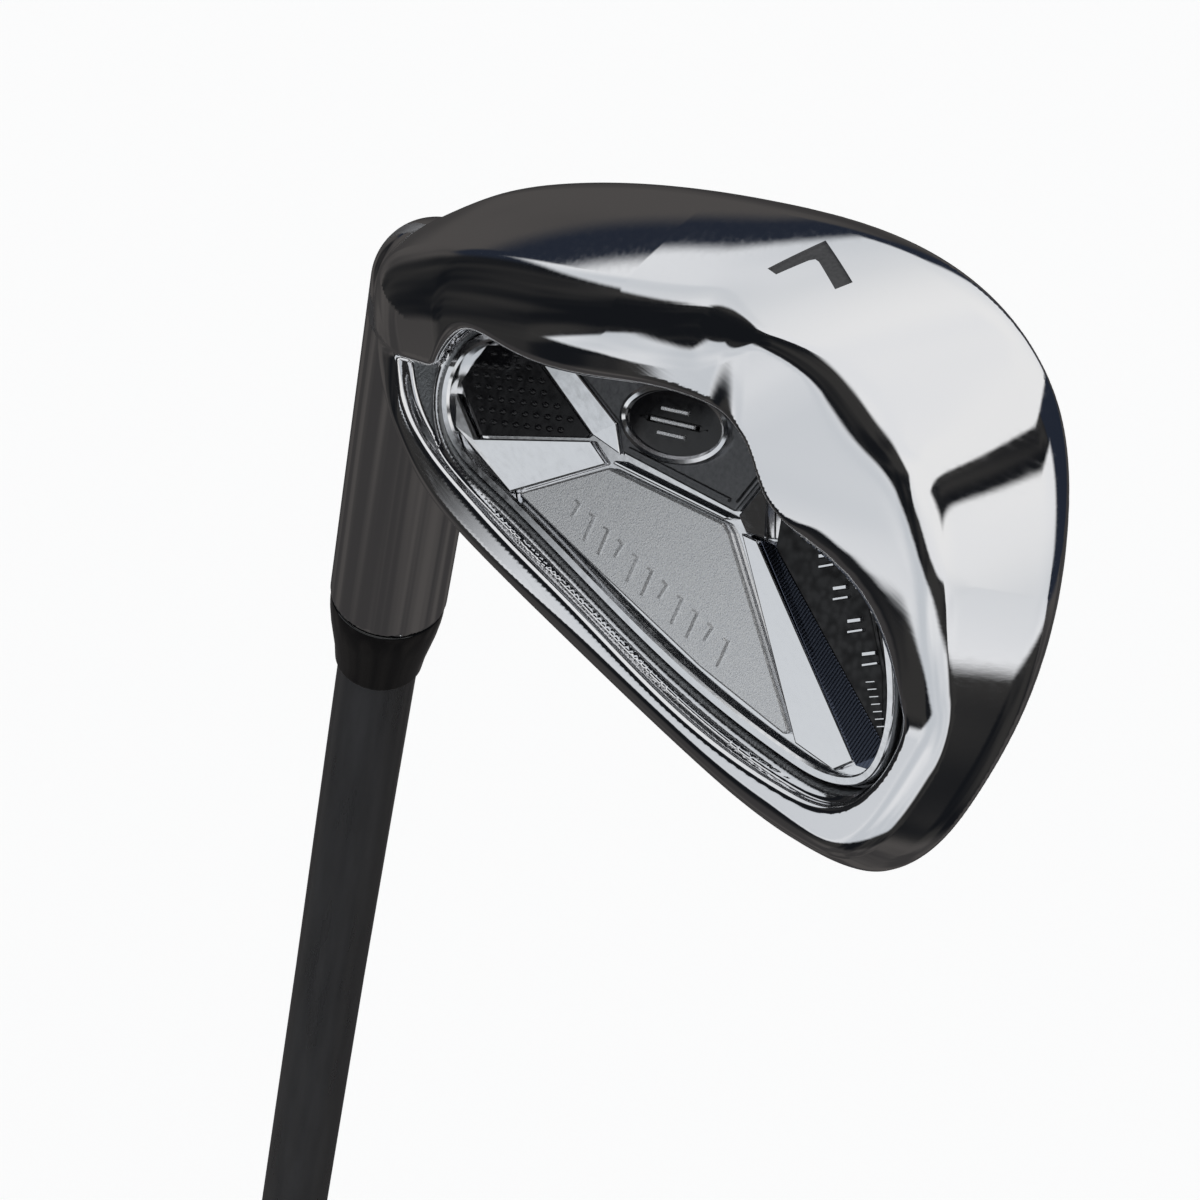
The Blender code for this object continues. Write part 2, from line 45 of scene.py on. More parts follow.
# ---- the club's own dimensions, millimetres ------------------------------------------------------
CLUB_LENGTH = 940.0
LIE, LOFT = math.radians(62.0), math.radians(33.0)
AXIS_SET = 2.8
FACE_THICKNESS = 2.6
EDGE_START = 1.2
RIM_DEPTH = 6.0
LEDGE_DEPTH = 4.4
HOSEL_RADIUS, HOSEL_START, HOSEL_END = 6.75, 14.0, 63.0
BORE_RADIUS, BORE_DEPTH = 5.6, 32.0
FERRULE_TOP, FERRULE_LENGTH, FERRULE_LARGE, FERRULE_SMALL = 876.7, 11.5, 6.6, 5.2
SHAFT_TIP, SHAFT_BUTT, SHAFT_LOW = 4.7, 7.6, 907.0
GRIP_TOP, GRIP_LENGTH, GRIP_LARGE, GRIP_SMALL, GRIP_RELIEF = 4.8, 261.2, 13.3, 9.6, 0.35
GROOVE_COUNT, GROOVE_PITCH, GROOVE_WIDTH, GROOVE_DEPTH = 11, 3.3, 0.9, 0.5
GROOVE_FIRST, GROOVE_HEEL, GROOVE_TOE = 3.6, 15.0, 59.0
DIGIT_DEPTH = 0.5

HEAD = Matrix((
    (math.sin(LIE), 0.0, math.cos(LIE), 0.0),
    (0.0, -1.0, 0.0, AXIS_SET * MM),
    (math.cos(LIE), 0.0, -math.sin(LIE), CLUB_LENGTH * MM),
    (0.0, 0.0, 0.0, 1.0)))
AXIS_MM = Matrix.Identity(4)                       # the shaft stands on the row's own Z axis
BLADE = HEAD @ Matrix.Rotation(-LOFT, 4, "X")      # x heel to toe, y depth, z up the face

BLADE_OUTLINE = [
    (-8.2, 10.2), (-1.0, 4.6), (6.0, 1.7), (14.0, -0.1), (28.0, -1.4), (41.0, -1.35), (54.4, 0.1),
    (66.1, 4.7), (73.3, 12.0), (76.2, 21.0), (76.7, 29.0), (75.5, 37.4), (72.8, 44.9),
    (69.1, 51.0), (64.3, 54.1), (58.4, 54.2), (43.7, 49.9), (28.0, 43.5), (13.0, 37.0),
    (3.5, 31.8), (-3.5, 25.0), (-8.2, 17.0)]
MUSCLE_LIP = [
    (13.9, 15.9), (20.0, 16.6), (33.0, 17.5), (44.5, 18.0), (48.6, 20.2), (51.4, 24.4),
    (56.6, 27.6), (62.4, 30.6), (65.4, 35.0), (66.8, 40.4), (67.6, 46.0), (63.6, 50.8),
    (56.0, 51.2), (43.0, 47.6), (27.0, 41.0), (13.0, 34.0), (5.0, 26.0), (9.7, 19.6)]
CAVITY_FOOT = [
    (10.0, 13.3), (24.0, 13.0), (40.0, 13.0), (48.4, 14.2), (55.6, 20.2), (62.4, 28.0),
    (66.7, 36.0), (67.4, 42.6), (65.7, 47.2), (61.4, 48.6), (55.6, 47.8), (43.4, 43.8),
    (29.4, 37.6), (14.4, 30.8), (6.4, 25.4), (5.2, 20.4), (6.4, 15.6)]
RIM_LIP = [
    (3.0, 12.4), (20.0, 11.4), (42.0, 11.6), (53.0, 17.4), (61.0, 25.6), (66.2, 33.4),
    (67.4, 39.2), (65.9, 45.2), (62.4, 48.6), (56.0, 48.7), (43.0, 45.0), (27.0, 37.8),
    (18.1, 33.8), (11.9, 30.7), (6.6, 27.7), (3.0, 24.7), (0.6, 21.0), (-0.4, 16.6)]
BADGE_OUTLINE = [
    (11.6, 15.2), (24.0, 14.3), (40.0, 14.0), (47.6, 15.0), (54.6, 20.8), (61.0, 28.4),
    (65.0, 36.4), (65.8, 42.4), (64.4, 45.8), (60.8, 47.0), (55.6, 46.2), (43.8, 42.4),
    (30.0, 36.4), (15.0, 29.6), (7.6, 24.8), (6.6, 20.6), (8.2, 17.2)]
SOLE_DIGIT = [                                     # the 7 in plan, x and y of the head
    (48.5, 4.5), (45.9, 9.6), (47.1, 9.95), (48.75, 7.35), (49.2, 7.0), (49.7, 7.15),
    (52.9, 9.3), (53.8, 7.95)]


# ---- smooth closed outlines ----------------------------------------------------------------------
class Outline:
    """A closed cubic spline through counter-clockwise points, with signed distance."""

    def __init__(self, points, samples=24):
        knots = np.array(points, float)
        count = len(knots)
        after = np.roll(knots, -1, axis=0)
        span = np.linalg.norm(after - knots, axis=1)
        back = np.roll(span, 1)
        slope = (after - knots) / span[:, None] ** 2
        matrix = np.zeros((count, count))
        rows = np.arange(count)
        matrix[rows, rows] = 2 / span + 2 / back
        matrix[rows, (rows + 1) % count] += 1 / span
        matrix[rows, (rows - 1) % count] += 1 / back
        tangent = np.linalg.solve(matrix, 3 * (slope + np.roll(slope, 1, axis=0)))
        t = (np.arange(samples) / samples)[None, :, None]
        p0, p1 = knots[:, None], after[:, None]
        m0 = tangent[:, None] * span[:, None, None]
        m1 = np.roll(tangent, -1, axis=0)[:, None] * span[:, None, None]
        place = ((2 * t**3 - 3 * t**2 + 1) * p0 + (t**3 - 2 * t**2 + t) * m0
                 + (3 * t**2 - 2 * t**3) * p1 + (t**3 - t**2) * m1)
        first = ((6 * t**2 - 6 * t) * (p0 - p1) + (3 * t**2 - 4 * t + 1) * m0
                 + (3 * t**2 - 2 * t) * m1)
        second = (12 * t - 6) * (p0 - p1) + (6 * t - 4) * m0 + (6 * t - 2) * m1
        speed = np.linalg.norm(first, axis=2)
        bend = (first[..., 0] * second[..., 1] - first[..., 1] * second[..., 0]) / speed**3
        self.place = place.reshape(-1, 2)
        self.along = (first / speed[..., None]).reshape(-1, 2)
        self.bend = bend.reshape(-1)

    def nearest(self, x, u):
        """Index of the nearest sample of the outline for each point."""
        flat = np.column_stack([np.ravel(x), np.ravel(u)])
        square = (self.place**2).sum(axis=1)
        found = np.empty(len(flat), int)
        for start in range(0, len(flat), 20000):
            block = flat[start:start + 20000]
            found[start:start + 20000] = np.argmin(square - 2 * block @ self.place.T, axis=1)
        return found.reshape(np.shape(x))

    def distance(self, x, u, nearest):
        """Signed distance (negative inside) and outward normal, from the osculating circle."""
        qx, qu = self.place[nearest, 0], self.place[nearest, 1]
        tx, tu = self.along[nearest, 0], self.along[nearest, 1]
        bend = self.bend[nearest]
        run = (x - qx) * tx + (u - qu) * tu
        rise = (x - qx) * tu - (u - qu) * tx
        stretch = np.maximum(1 + bend * rise, 0.2)
        turn = bend * run / stretch
        return rise + 0.5 * bend * run**2 / stretch, tu + turn * tx, turn * tu - tx


def fillet_and(a, b, r):
    """Intersection of two fields, its edge rounded to the radius r."""
    return (np.minimum(np.maximum(a, b), -r)
            + np.sqrt(np.maximum(a + r, 0.0)**2 + np.maximum(b + r, 0.0)**2))


def fillet_or(a, b, r):
    """Union of two fields, its inner corner filled to the radius r."""
    return -fillet_and(-a, -b, r)


def soft_max(a, b, k):
    """Maximum of two values, blended over the width k."""
    h = np.maximum(k - np.abs(a - b), 0.0) / k
    return np.maximum(a, b) + 0.25 * k * h**2


def soft_min(a, b, k):
    return -soft_max(-a, -b, k)


def ramp(value, low, high):
    """Smooth step from 0 at low to 1 at high."""
    t = np.clip((value - low) / (high - low), 0.0, 1.0)
    return t * t * (3 - 2 * t)


# ---- the head as one smooth field ----------------------------------------------------------------
class HeadField:
    """Signed field of the head casting in blade coordinates, negative inside the metal."""

    def __init__(self):
        self.loops = [Outline(points) for points in
                      (BLADE_OUTLINE, MUSCLE_LIP, CAVITY_FOOT, RIM_LIP, BADGE_OUTLINE)]
        self.axis_point = np.array([0.0, AXIS_SET * math.cos(LOFT), AXIS_SET * math.sin(LOFT)])
        self.axis = np.array([-math.cos(LIE), -math.sin(LIE) * math.sin(LOFT),
                              math.sin(LIE) * math.cos(LOFT)])

    def nearest(self, x, u):
        return [loop.nearest(x, u) for loop in self.loops]

    def thickness(self, x, u):
        """Depth of the thick lower back: a bulge toward the heel and a facet toward the toe."""
        bulge = 15.3 - 0.35 * (u - 12.0)
        bulge = bulge - soft_max(0.13 * (33.0 - x), 0.22 * (x - 33.0), 3.2) + 0.7
        bulge = bulge - 0.17 * soft_max(10.5 - x, 0.0, 1.2)
        facet = 12.0 - 0.026 * (x - 47.5) - 0.054 * (u - 12.0)
        facet = soft_min(facet, 12.0 + 0.9 * (x - 47.0), 2.0)
        fall = 9.5 - 0.40 * (u - 31.5)
        return soft_min(fall, soft_max(bulge, facet, 2.0) - 0.2, 3.0)

    def inset(self, b, nx, nu):
        """How far the side has moved in from the outline at depth b."""
        down, up = np.maximum(-nu, 0.0), np.maximum(nu, 0.0)
        toe, heel = np.maximum(nx, 0.0), np.maximum(-nx, 0.0)
        slope = (math.tan(LOFT) * down**2 + 0.35 * up**2 + 0.75 * toe**2 + 0.80 * heel**2
                 + 0.85 * down * toe)
        run = soft_max(b - EDGE_START, 0.0, 1.6)
        return slope * run + down**2 * run**2 / 52.0, slope

    def hosel(self, x, b, u):
        px, pb, pu = x - self.axis_point[0], b - self.axis_point[1], u - self.axis_point[2]
        t = px * self.axis[0] + pb * self.axis[1] + pu * self.axis[2]
        low = np.minimum(t - HOSEL_START, 0.0)
        radial = np.sqrt(np.maximum(px**2 + pb**2 + pu**2 - t**2, 0.0) + 1e-9)
        return t, radial, np.sqrt(radial**2 + low**2) - HOSEL_RADIUS

    def back(self, x, b, u, nearest):
        """Everything behind the face: rim, thick lower back, channel, bead and badge recess."""
        rim_lip = self.loops[3].distance(x, u, nearest[3])[0]
        rim = fillet_and(b - RIM_DEPTH, -(rim_lip + 0.4 * np.minimum(RIM_DEPTH - b, 1.8)), 0.6)
        lip = self.loops[1].distance(x, u, nearest[1])[0]
        foot = self.loops[2].distance(x, u, nearest[2])[0]
        thick = self.thickness(x, u)
        lift = np.clip((b - LEDGE_DEPTH) / np.maximum(thick - LEDGE_DEPTH, 0.8), -0.3, 1.2)
        step = u - 19.3 - 0.03 * x - 3.0 * np.maximum(x - 15.0, 0.0)
        muscle = fillet_and(b - thick, step, 0.7)
        muscle = fillet_and(muscle, -(foot + lift * (lip - foot)), 1.3)
        badge = self.loops[4].distance(x, u, nearest[4])[0]
        bead = np.sqrt((badge - 1.2)**2 + (b - LEDGE_DEPTH + 0.35)**2) - 0.95
        recess = fillet_and(badge - 0.4, FACE_THICKNESS - b, 0.2)
        floor = fillet_and(fillet_or(b - LEDGE_DEPTH, bead, 0.3), -recess, 0.15)
        return fillet_or(fillet_or(rim, muscle, 0.5), floor, 0.5)

    def value(self, x, b, u, nearest):
        rim, nx, nu = self.loops[0].distance(x, u, nearest[0])
        inset, slope = self.inset(b, nx, nu)
        side = (rim + inset) / np.sqrt(1 + slope**2)
        heel_side = ramp(u, 26.0, 18.0) * ramp(x, 51.0, 43.0)
        toe_side = ramp(x, 44.0, 60.0)
        topline = ramp(u, 36.0, 42.0) * ramp(x, 62.0, 54.0)
        rounding = 0.9 + 0.4 * toe_side + 3.6 * heel_side + 0.5 * topline
        solid = fillet_and(side, self.back(x, b, u, nearest), rounding)
        solid = fillet_and(solid, -b, 1.2)
        t, radial, hosel = self.hosel(x, b, u)
        solid = fillet_or(solid, hosel, 0.8 + 2.0 * ramp(t, 14.0, 30.0))
        solid = fillet_and(solid, t - HOSEL_END, 0.4)
        bore = np.maximum(radial - BORE_RADIUS, HOSEL_END - BORE_DEPTH - t)
        return np.maximum(solid, -bore)

    def gradient(self, p, nearest, step=0.01):
        parts = []
        for axis in range(3):
            offset = np.zeros(3)
            offset[axis] = step
            high, low = p + offset, p - offset
            parts.append((self.value(*high.T, nearest) - self.value(*low.T, nearest)) / (2 * step))
        return np.stack(parts, axis=1)

    def settle(self, points, rounds=4):
        """Slide points along the gradient onto the surface."""
        for _ in range(rounds):
            near = self.nearest(points[:, 0], points[:, 2])
            slope = self.gradient(points, near)
            move = self.value(*points.T, near) / np.maximum((slope**2).sum(axis=1), 0.05)
            points = points - np.clip(move, -0.3, 0.3)[:, None] * slope
        return points

    def relax(self, points, quads, rounds=3):
        """Even out the net: move points towards their neighbours, then back on the surface."""
        ends = np.concatenate([quads[:, [0, 1]], quads[:, [1, 2]], quads[:, [2, 3]],
                               quads[:, [3, 0]]])
        count = np.bincount(ends[:, 0], minlength=len(points))[:, None]
        for _ in range(rounds):
            mean = np.stack([np.bincount(ends[:, 0], points[ends[:, 1], k], len(points))
                             for k in range(3)], axis=1) / np.maximum(count, 1)
            points = self.settle(0.4 * points + 0.6 * mean, rounds=2)
        return points

    def normals(self, points):
        slope = self.gradient(points, self.nearest(points[:, 0], points[:, 2]))
        return slope / np.linalg.norm(slope, axis=1)[:, None]


def graded(*stops):
    """Grid lines from (start, step) pairs, the last pair giving only the end."""
    parts = [np.arange(a[0], b[0] - 0.3 * a[1], a[1]) for a, b in zip(stops, stops[1:])]
    return np.concatenate(parts + [[stops[-1][0]]])


def surface_net(field, axes):
    """Quads around the zero of a field, sampled on a grid; one vertex in each crossed cell."""
    x, u = np.meshgrid(axes[0], axes[2], indexing="ij")
    nearest = field.nearest(x, u)
    grid = np.empty([len(a) for a in axes], np.float32)
    for j, b in enumerate(axes[1]):
        grid[:, j, :] = field.value(x, b, u, nearest)
    inside = grid < 0
    sizes = grid.shape
    corners = [(i, j, k) for i in (0, 1) for j in (0, 1) for k in (0, 1)]
    count = sum(inside[i:sizes[0] - 1 + i, j:sizes[1] - 1 + j, k:sizes[2] - 1 + k].astype(np.int8)
                for i, j, k in corners)
    cells = np.argwhere((count > 0) & (count < 8))
    index = np.full([n - 1 for n in sizes], -1, np.int64)
    index[tuple(cells.T)] = np.arange(len(cells))
    total = np.zeros((len(cells), 3))
    hits = np.zeros(len(cells))
    for corner in corners:
        for axis in range(3):
            if corner[axis]:
                continue
            first = cells + corner
            second = first.copy()
            second[:, axis] += 1
            start, end = grid[tuple(first.T)], grid[tuple(second.T)]
            crossed = (start < 0) != (end < 0)
            part = np.where(crossed, start / np.where(crossed, start - end, 1), 0)
            point = np.stack([axes[k][first[:, k]] for k in range(3)], axis=1)
            point[:, axis] += part * (axes[axis][second[:, axis]] - axes[axis][first[:, axis]])
            total += np.where(crossed[:, None], point, 0)
            hits += crossed
    vertices = total / hits[:, None]
    quads = []
    for axis in range(3):
        ahead = np.moveaxis(inside, axis, 0)
        starts, ends = ahead[:-1, 1:-1, 1:-1], ahead[1:, 1:-1, 1:-1]
        crossing = np.argwhere(starts != ends)
        leaving = starts[tuple(crossing.T)]
        others = [a for a in range(3) if a != axis]
        ring = []
        for shift in ((0, 0), (1, 0), (1, 1), (0, 1)):
            cell = np.zeros((len(crossing), 3), int)
            cell[:, axis] = crossing[:, 0]
            cell[:, others[0]] = crossing[:, 1] + shift[0]
            cell[:, others[1]] = crossing[:, 2] + shift[1]
            ring.append(index[tuple(cell.T)])
        ring = np.stack(ring, axis=1)
        flip = leaving if axis != 1 else ~leaving
        quads.append(np.where(flip[:, None], ring, ring[:, ::-1]))
    return vertices, np.concatenate(quads)


# ---- helpers for pieces --------------------------------------------------------------------------
def place_piece(mesh, matrix, materials, replaced=None):
    """Put a finished mesh in the scene on the club's body, its matrix applied to its vertices.
    """
    obj = bpy.data.objects.new(mesh.name, mesh)
    bpy.context.scene.collection.objects.link(obj)
    mesh.transform(matrix)
    for material in materials:
        mesh.materials.append(material)
    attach(obj, BODY)
    if replaced:
        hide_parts(replaced)
    return obj


def skin(bm, rings):
    """Quads between neighbouring closed rings of vertices, and a cap on each end."""
    count = len(rings[0])
    for first, second in zip(rings, rings[1:]):
        for i in range(count):
            j = (i + 1) % count
            bm.faces.new((first[i], first[j], second[j], second[i]))
    bm.faces.new(rings[0])
    bm.faces.new(list(reversed(rings[-1])))


# ---- materials -----------------------------------------------------------------------------------
class Nodes:
    """A short way to build a Principled material's node tree."""

    def __init__(self, name, colour, roughness, metallic=0.0):
        self.mat = bpy.data.materials.new(name)
        self.mat.use_nodes = True
        self.tree = self.mat.node_tree
        self.shader = self.tree.nodes["Principled BSDF"]
        self.shader.inputs["Base Color"].default_value = (*colour, 1.0)
        self.shader.inputs["Roughness"].default_value = roughness
        self.shader.inputs["Metallic"].default_value = metallic

    def add(self, kind, **values):
        node = self.tree.nodes.new(kind)
        for key, value in values.items():
            if key in node.inputs:
                node.inputs[key].default_value = value
            else:
                setattr(node, key, value)
        return node

    def link(self, source, target):
        self.tree.links.new(source, target)

    def noise(self, scale, detail=4.0, stretch=(1.0, 1.0, 1.0)):
        coords = self.add("ShaderNodeTexCoord")
        mapping = self.add("ShaderNodeMapping", Scale=stretch)
        noise = self.add("ShaderNodeTexNoise", Scale=scale, Detail=detail)
        self.link(coords.outputs["Object"], mapping.inputs["Vector"])
        self.link(mapping.outputs["Vector"], noise.inputs["Vector"])
        return noise.outputs["Fac"]

    def remap(self, source, low, high, to_low, to_high):
        node = self.add("ShaderNodeMapRange")
        for key, value in zip(("From Min", "From Max", "To Min", "To Max"),
                              (low, high, to_low, to_high)):
            node.inputs[key].default_value = value
        self.link(source, node.inputs["Value"])
        return node.outputs["Result"]

    def roughness(self, source, low, high):
        self.link(self.remap(source, 0.3, 0.7, low, high), self.shader.inputs["Roughness"])

    def colour(self, source, first, second, low=0.3, high=0.7):
        ramp_node = self.add("ShaderNodeValToRGB")
        ramp_node.color_ramp.elements[0].position = low
        ramp_node.color_ramp.elements[1].position = high
        ramp_node.color_ramp.elements[0].color = (*first, 1.0)
        ramp_node.color_ramp.elements[1].color = (*second, 1.0)
        self.link(source, ramp_node.inputs["Fac"])
        self.link(ramp_node.outputs["Color"], self.shader.inputs["Base Color"])

    def mix(self, factor, first, second):
        node = self.add("ShaderNodeMix", data_type="FLOAT")
        self.link(factor, node.inputs[0])
        self.link(first, node.inputs[2])
        self.link(second, node.inputs[3])
        return node.outputs[0]

    def mix_colour(self, factor, first, second):
        node = self.add("ShaderNodeMix", data_type="RGBA")
        self.link(factor, node.inputs[0])
        node.inputs[6].default_value = (*first, 1.0)
        node.inputs[7].default_value = (*second, 1.0)
        return node.outputs[2]

    def bump(self, source, strength, distance):
        node = self.add("ShaderNodeBump", Strength=strength, Distance=distance)
        self.link(source, node.inputs["Height"])
        self.link(node.outputs["Normal"], self.shader.inputs["Normal"])


def head_steel():
    """Bright polish with fine buffing lines, turning to blasted satin inside the channel."""
    m = Nodes("polished_steel", (0.86, 0.86, 0.875), 0.05, 1.0)
    inside = m.add("ShaderNodeAttribute", attribute_name="channel").outputs["Fac"]
    inside = m.remap(inside, 0.0, 0.12, 0.0, 1.0)
    buffing = m.noise(260.0, 6.0, (1.0, 5.0, 16.0))
    grain = m.noise(3600.0, 3.0)
    polish = m.remap(buffing, 0.35, 0.75, 0.03, 0.095)
    satin = m.remap(grain, 0.3, 0.7, 0.34, 0.5)
    m.link(m.mix(inside, polish, satin), m.shader.inputs["Roughness"])
    m.link(m.mix_colour(inside, (0.86, 0.86, 0.875), (0.27, 0.28, 0.29)),
           m.shader.inputs["Base Color"])
    height = m.mix(inside, m.remap(buffing, 0.0, 1.0, 0.49, 0.51), grain)
    m.bump(height, 0.5, 0.00012)
    return m.mat


def face_steel():
    m = Nodes("blasted_face_steel", (0.42, 0.42, 0.43), 0.5, 1.0)
    grain = m.noise(5200.0, 2.0)
    m.roughness(grain, 0.42, 0.6)
    m.bump(grain, 0.25, 0.00006)
    return m.mat


def number_enamel():
    m = Nodes("number_enamel", (0.05, 0.05, 0.052), 0.4)
    grain = m.noise(2600.0, 3.0)
    m.colour(grain, (0.045, 0.045, 0.047), (0.10, 0.10, 0.105))
    m.roughness(grain, 0.3, 0.5)
    m.bump(grain, 0.2, 0.00005)
    return m.mat


def simple(name, colour, roughness, metallic=0.0, scale=900.0):
    m = Nodes(name, colour, roughness, metallic)
    m.roughness(m.noise(scale, 5.0), roughness * 0.8, min(roughness * 1.25 + 0.02, 1.0))
    return m.mat


# ---- the head ------------------------------------------------------------------------------------
def flatten_plane(bm, depth):
    """Merge the grid faces that lie in one flat plane of constant depth into one face."""
    flat = [f for f in bm.faces if all(abs(v.co.y / MM - depth) < 0.004 for v in f.verts)]
    bmesh.ops.dissolve_faces(bm, faces=flat, use_verts=False)


def cut(mesh, cutter):
    """The mesh with a closed cutter mesh subtracted from it."""
    body, tool = bpy.data.objects.new("body", mesh), bpy.data.objects.new("cutter", cutter)
    for obj in (body, tool):
        bpy.context.scene.collection.objects.link(obj)
    modifier = body.modifiers.new("cut", "BOOLEAN")
    modifier.operation = "DIFFERENCE"
    modifier.object = tool
    modifier.solver = "MANIFOLD"
    bpy.context.view_layer.update()
    shaped = bpy.data.meshes.new_from_object(
        body.evaluated_get(bpy.context.evaluated_depsgraph_get()))
    shaped.materials.clear()          # the modifier leaves an empty slot
    for obj in (body, tool):
        bpy.data.objects.remove(obj)
    for used in (mesh, cutter):
        bpy.data.meshes.remove(used)
    return shaped


def sole_sheet(bm, field, outline, offset):
    """The sole's surface over a plan outline, moved outwards by an offset, as triangles."""
    face = bm.faces.new([bm.verts.new((x, y, -4.0)) for x, y in outline])
    bmesh.ops.triangulate(bm, faces=[face])
    bmesh.ops.subdivide_edges(bm, edges=bm.edges[:], cuts=2, use_grid_fill=True)
    bmesh.ops.triangulate(bm, faces=bm.faces[:])
    plan = np.array([tuple(v.co) for v in bm.verts])
    cosine, sine = math.cos(LOFT), math.sin(LOFT)
    for _ in range(40):
        points = np.column_stack([plan[:, 0], plan[:, 1] * cosine - plan[:, 2] * sine,
                                  plan[:, 1] * sine + plan[:, 2] * cosine])
        value = field.value(*points.T, field.nearest(points[:, 0], points[:, 2]))
        plan[:, 2] += np.clip(value, -0.5, 0.5)
    points = points + offset * field.normals(points)
    for vertex, point in zip(bm.verts, points):
        vertex.co = Vector(point) * MM


def sole_block(name, field, outline, outside, inside):
    """A closed block over a plan outline, following the sole between two offsets from it."""
    bm = bmesh.new()
    sole_sheet(bm, field, outline, outside)
    top = bm.verts[:]
    rim = [e for e in bm.edges if e.is_boundary]
    bottom = bmesh.new()
    sole_sheet(bottom, field, outline, inside)
    low = [bm.verts.new(v.co) for v in bottom.verts]
    bm.verts.index_update()
    order = {v: i for i, v in enumerate(top)}
    for face in [f.verts[:] for f in bm.faces]:
        bm.faces.new([low[order[v]] for v in reversed(face)])
    for edge in rim:
        first, second = edge.verts
        bm.faces.new((first, second, low[order[second]], low[order[first]]))
    bottom.free()
    bmesh.ops.recalc_face_normals(bm, faces=bm.faces)
    mesh = bpy.data.meshes.new(name)
    bm.to_mesh(mesh)
    bm.free()
    return mesh


def head_cutter(field):
    """Score lines across the face and the sole digit's recess, as one mesh."""
    bm = bmesh.new()
    for row in range(GROOVE_COUNT):
        u = GROOVE_FIRST + row * GROOVE_PITCH
        low, high = u - GROOVE_WIDTH / 2, u + GROOVE_WIDTH / 2
        heel = GROOVE_HEEL + max(0.0, u - 30.0) * 2.6
        corners = [(heel, low), (GROOVE_TOE, low), (GROOVE_TOE, high), (heel, high)]
        skin(bm, [[bm.verts.new((x * MM, depth * MM, z * MM)) for x, z in corners]
                  for depth in (-GROOVE_DEPTH, GROOVE_DEPTH)])
    bmesh.ops.recalc_face_normals(bm, faces=bm.faces)
    bm.from_mesh(sole_block("recess", field, SOLE_DIGIT, DIGIT_DEPTH, -DIGIT_DEPTH))
    mesh = bpy.data.meshes.new("head_cutter")
    bm.to_mesh(mesh)
    bm.free()
    return mesh


def read_array(items, key, width, kind=float):
    """One property of all the items of a mesh, as an array with a row for each item."""
    values = np.empty(len(items) * width, kind)
    items.foreach_get(key, values)
    return values.reshape(-1, width) if width > 1 else values


def softened(mesh, points, normals, rounds=24):
    """Normals averaged over their neighbours on the thick toe side, where creases would show."""
    first, second = read_array(mesh.edges, "vertices", 2, int).T
    near, far = np.concatenate([first, second]), np.concatenate([second, first])
    count = np.maximum(np.bincount(near, minlength=len(points)), 1)[:, None]
    share = (ramp(points[:, 0], 54.0, 59.0) * ramp(points[:, 1], 7.0, 9.0))[:, None]
    for _ in range(rounds):
        mean = np.stack([np.bincount(near, normals[far, k], len(points)) for k in range(3)],
                        axis=1) / count
        normals = normals + share * (mean - normals)
        normals = normals / np.linalg.norm(normals, axis=1)[:, None]
    return normals


def field_normals(mesh, points, field):
    """Corner normals: the field's own where the mesh lies on it, flat ones on cut faces."""
    exact = field.normals(points)
    corner = read_array(mesh.loops, "vertex_index", 1, int)
    flat = np.repeat(read_array(mesh.polygons, "normal", 3),
                     read_array(mesh.polygons, "loop_total", 1, int), axis=0)
    agree = (exact[corner] * flat).sum(axis=1) > 0.8
    return np.where(agree[:, None], softened(mesh, points, exact)[corner], flat)


def mark_channel(mesh, points, field):
    """Store how deep each point lies in the channel between the badge and the rim."""
    near = field.nearest(points[:, 0], points[:, 2])
    foot = field.loops[2].distance(points[:, 0], points[:, 2], near[2])[0]
    rim = field.loops[3].distance(points[:, 0], points[:, 2], near[3])[0]
    channel = np.minimum(np.minimum(5.0 - points[:, 1], points[:, 1] - 1.0),
                         -np.minimum(rim + 0.9, foot + 0.2))
    layer = mesh.attributes.new("channel", "FLOAT", "POINT")
    layer.data.foreach_set("value", channel.astype(np.float32))


def head_mesh(field):
    """The head's surface from the field, its flat planes each merged into one face."""
    fine = 0.3
    wide = 2.0 * fine
    axes = [graded((-37.0, wide), (-10.0, fine), (78.6, 0)),
            graded((-36.0, wide), (-0.6, fine), (16.8, 0)),
            graded((-4.0, fine), (57.0, 0))]
    vertices, quads = surface_net(field, axes)
    vertices = field.relax(field.settle(vertices), quads)
    mesh = bpy.data.meshes.new("head_blank")
    mesh.from_pydata((vertices * MM).tolist(), [], quads.tolist())
    mesh.validate()
    bm = bmesh.new()
    bm.from_mesh(mesh)
    flatten_plane(bm, 0.0)
    flatten_plane(bm, FACE_THICKNESS)
    bm.to_mesh(mesh)
    bm.free()
    return mesh


def head():
    field = HeadField()
    mesh = cut(head_mesh(field), head_cutter(field))
    mesh.name = "head_visual"
    points = read_array(mesh.vertices, "co", 3) / MM
    normals = field_normals(mesh, points, field)
    mesh.shade_smooth()
    mesh.normals_split_custom_set(normals.tolist())
    mark_channel(mesh, points, field)
    depth = read_array(mesh.polygons, "center", 3)[:, 1] / MM
    place_piece(mesh, BLADE, [head_steel(), face_steel()], "head_casting")
    mesh.polygons.foreach_set("material_index", (np.abs(depth) < 0.7).astype(np.int32))
    fill = sole_block("sole_digit", field, SOLE_DIGIT, -0.3, 0.02 - DIGIT_DEPTH)
    place_piece(fill, BLADE, [number_enamel()], "sole_number_fill")


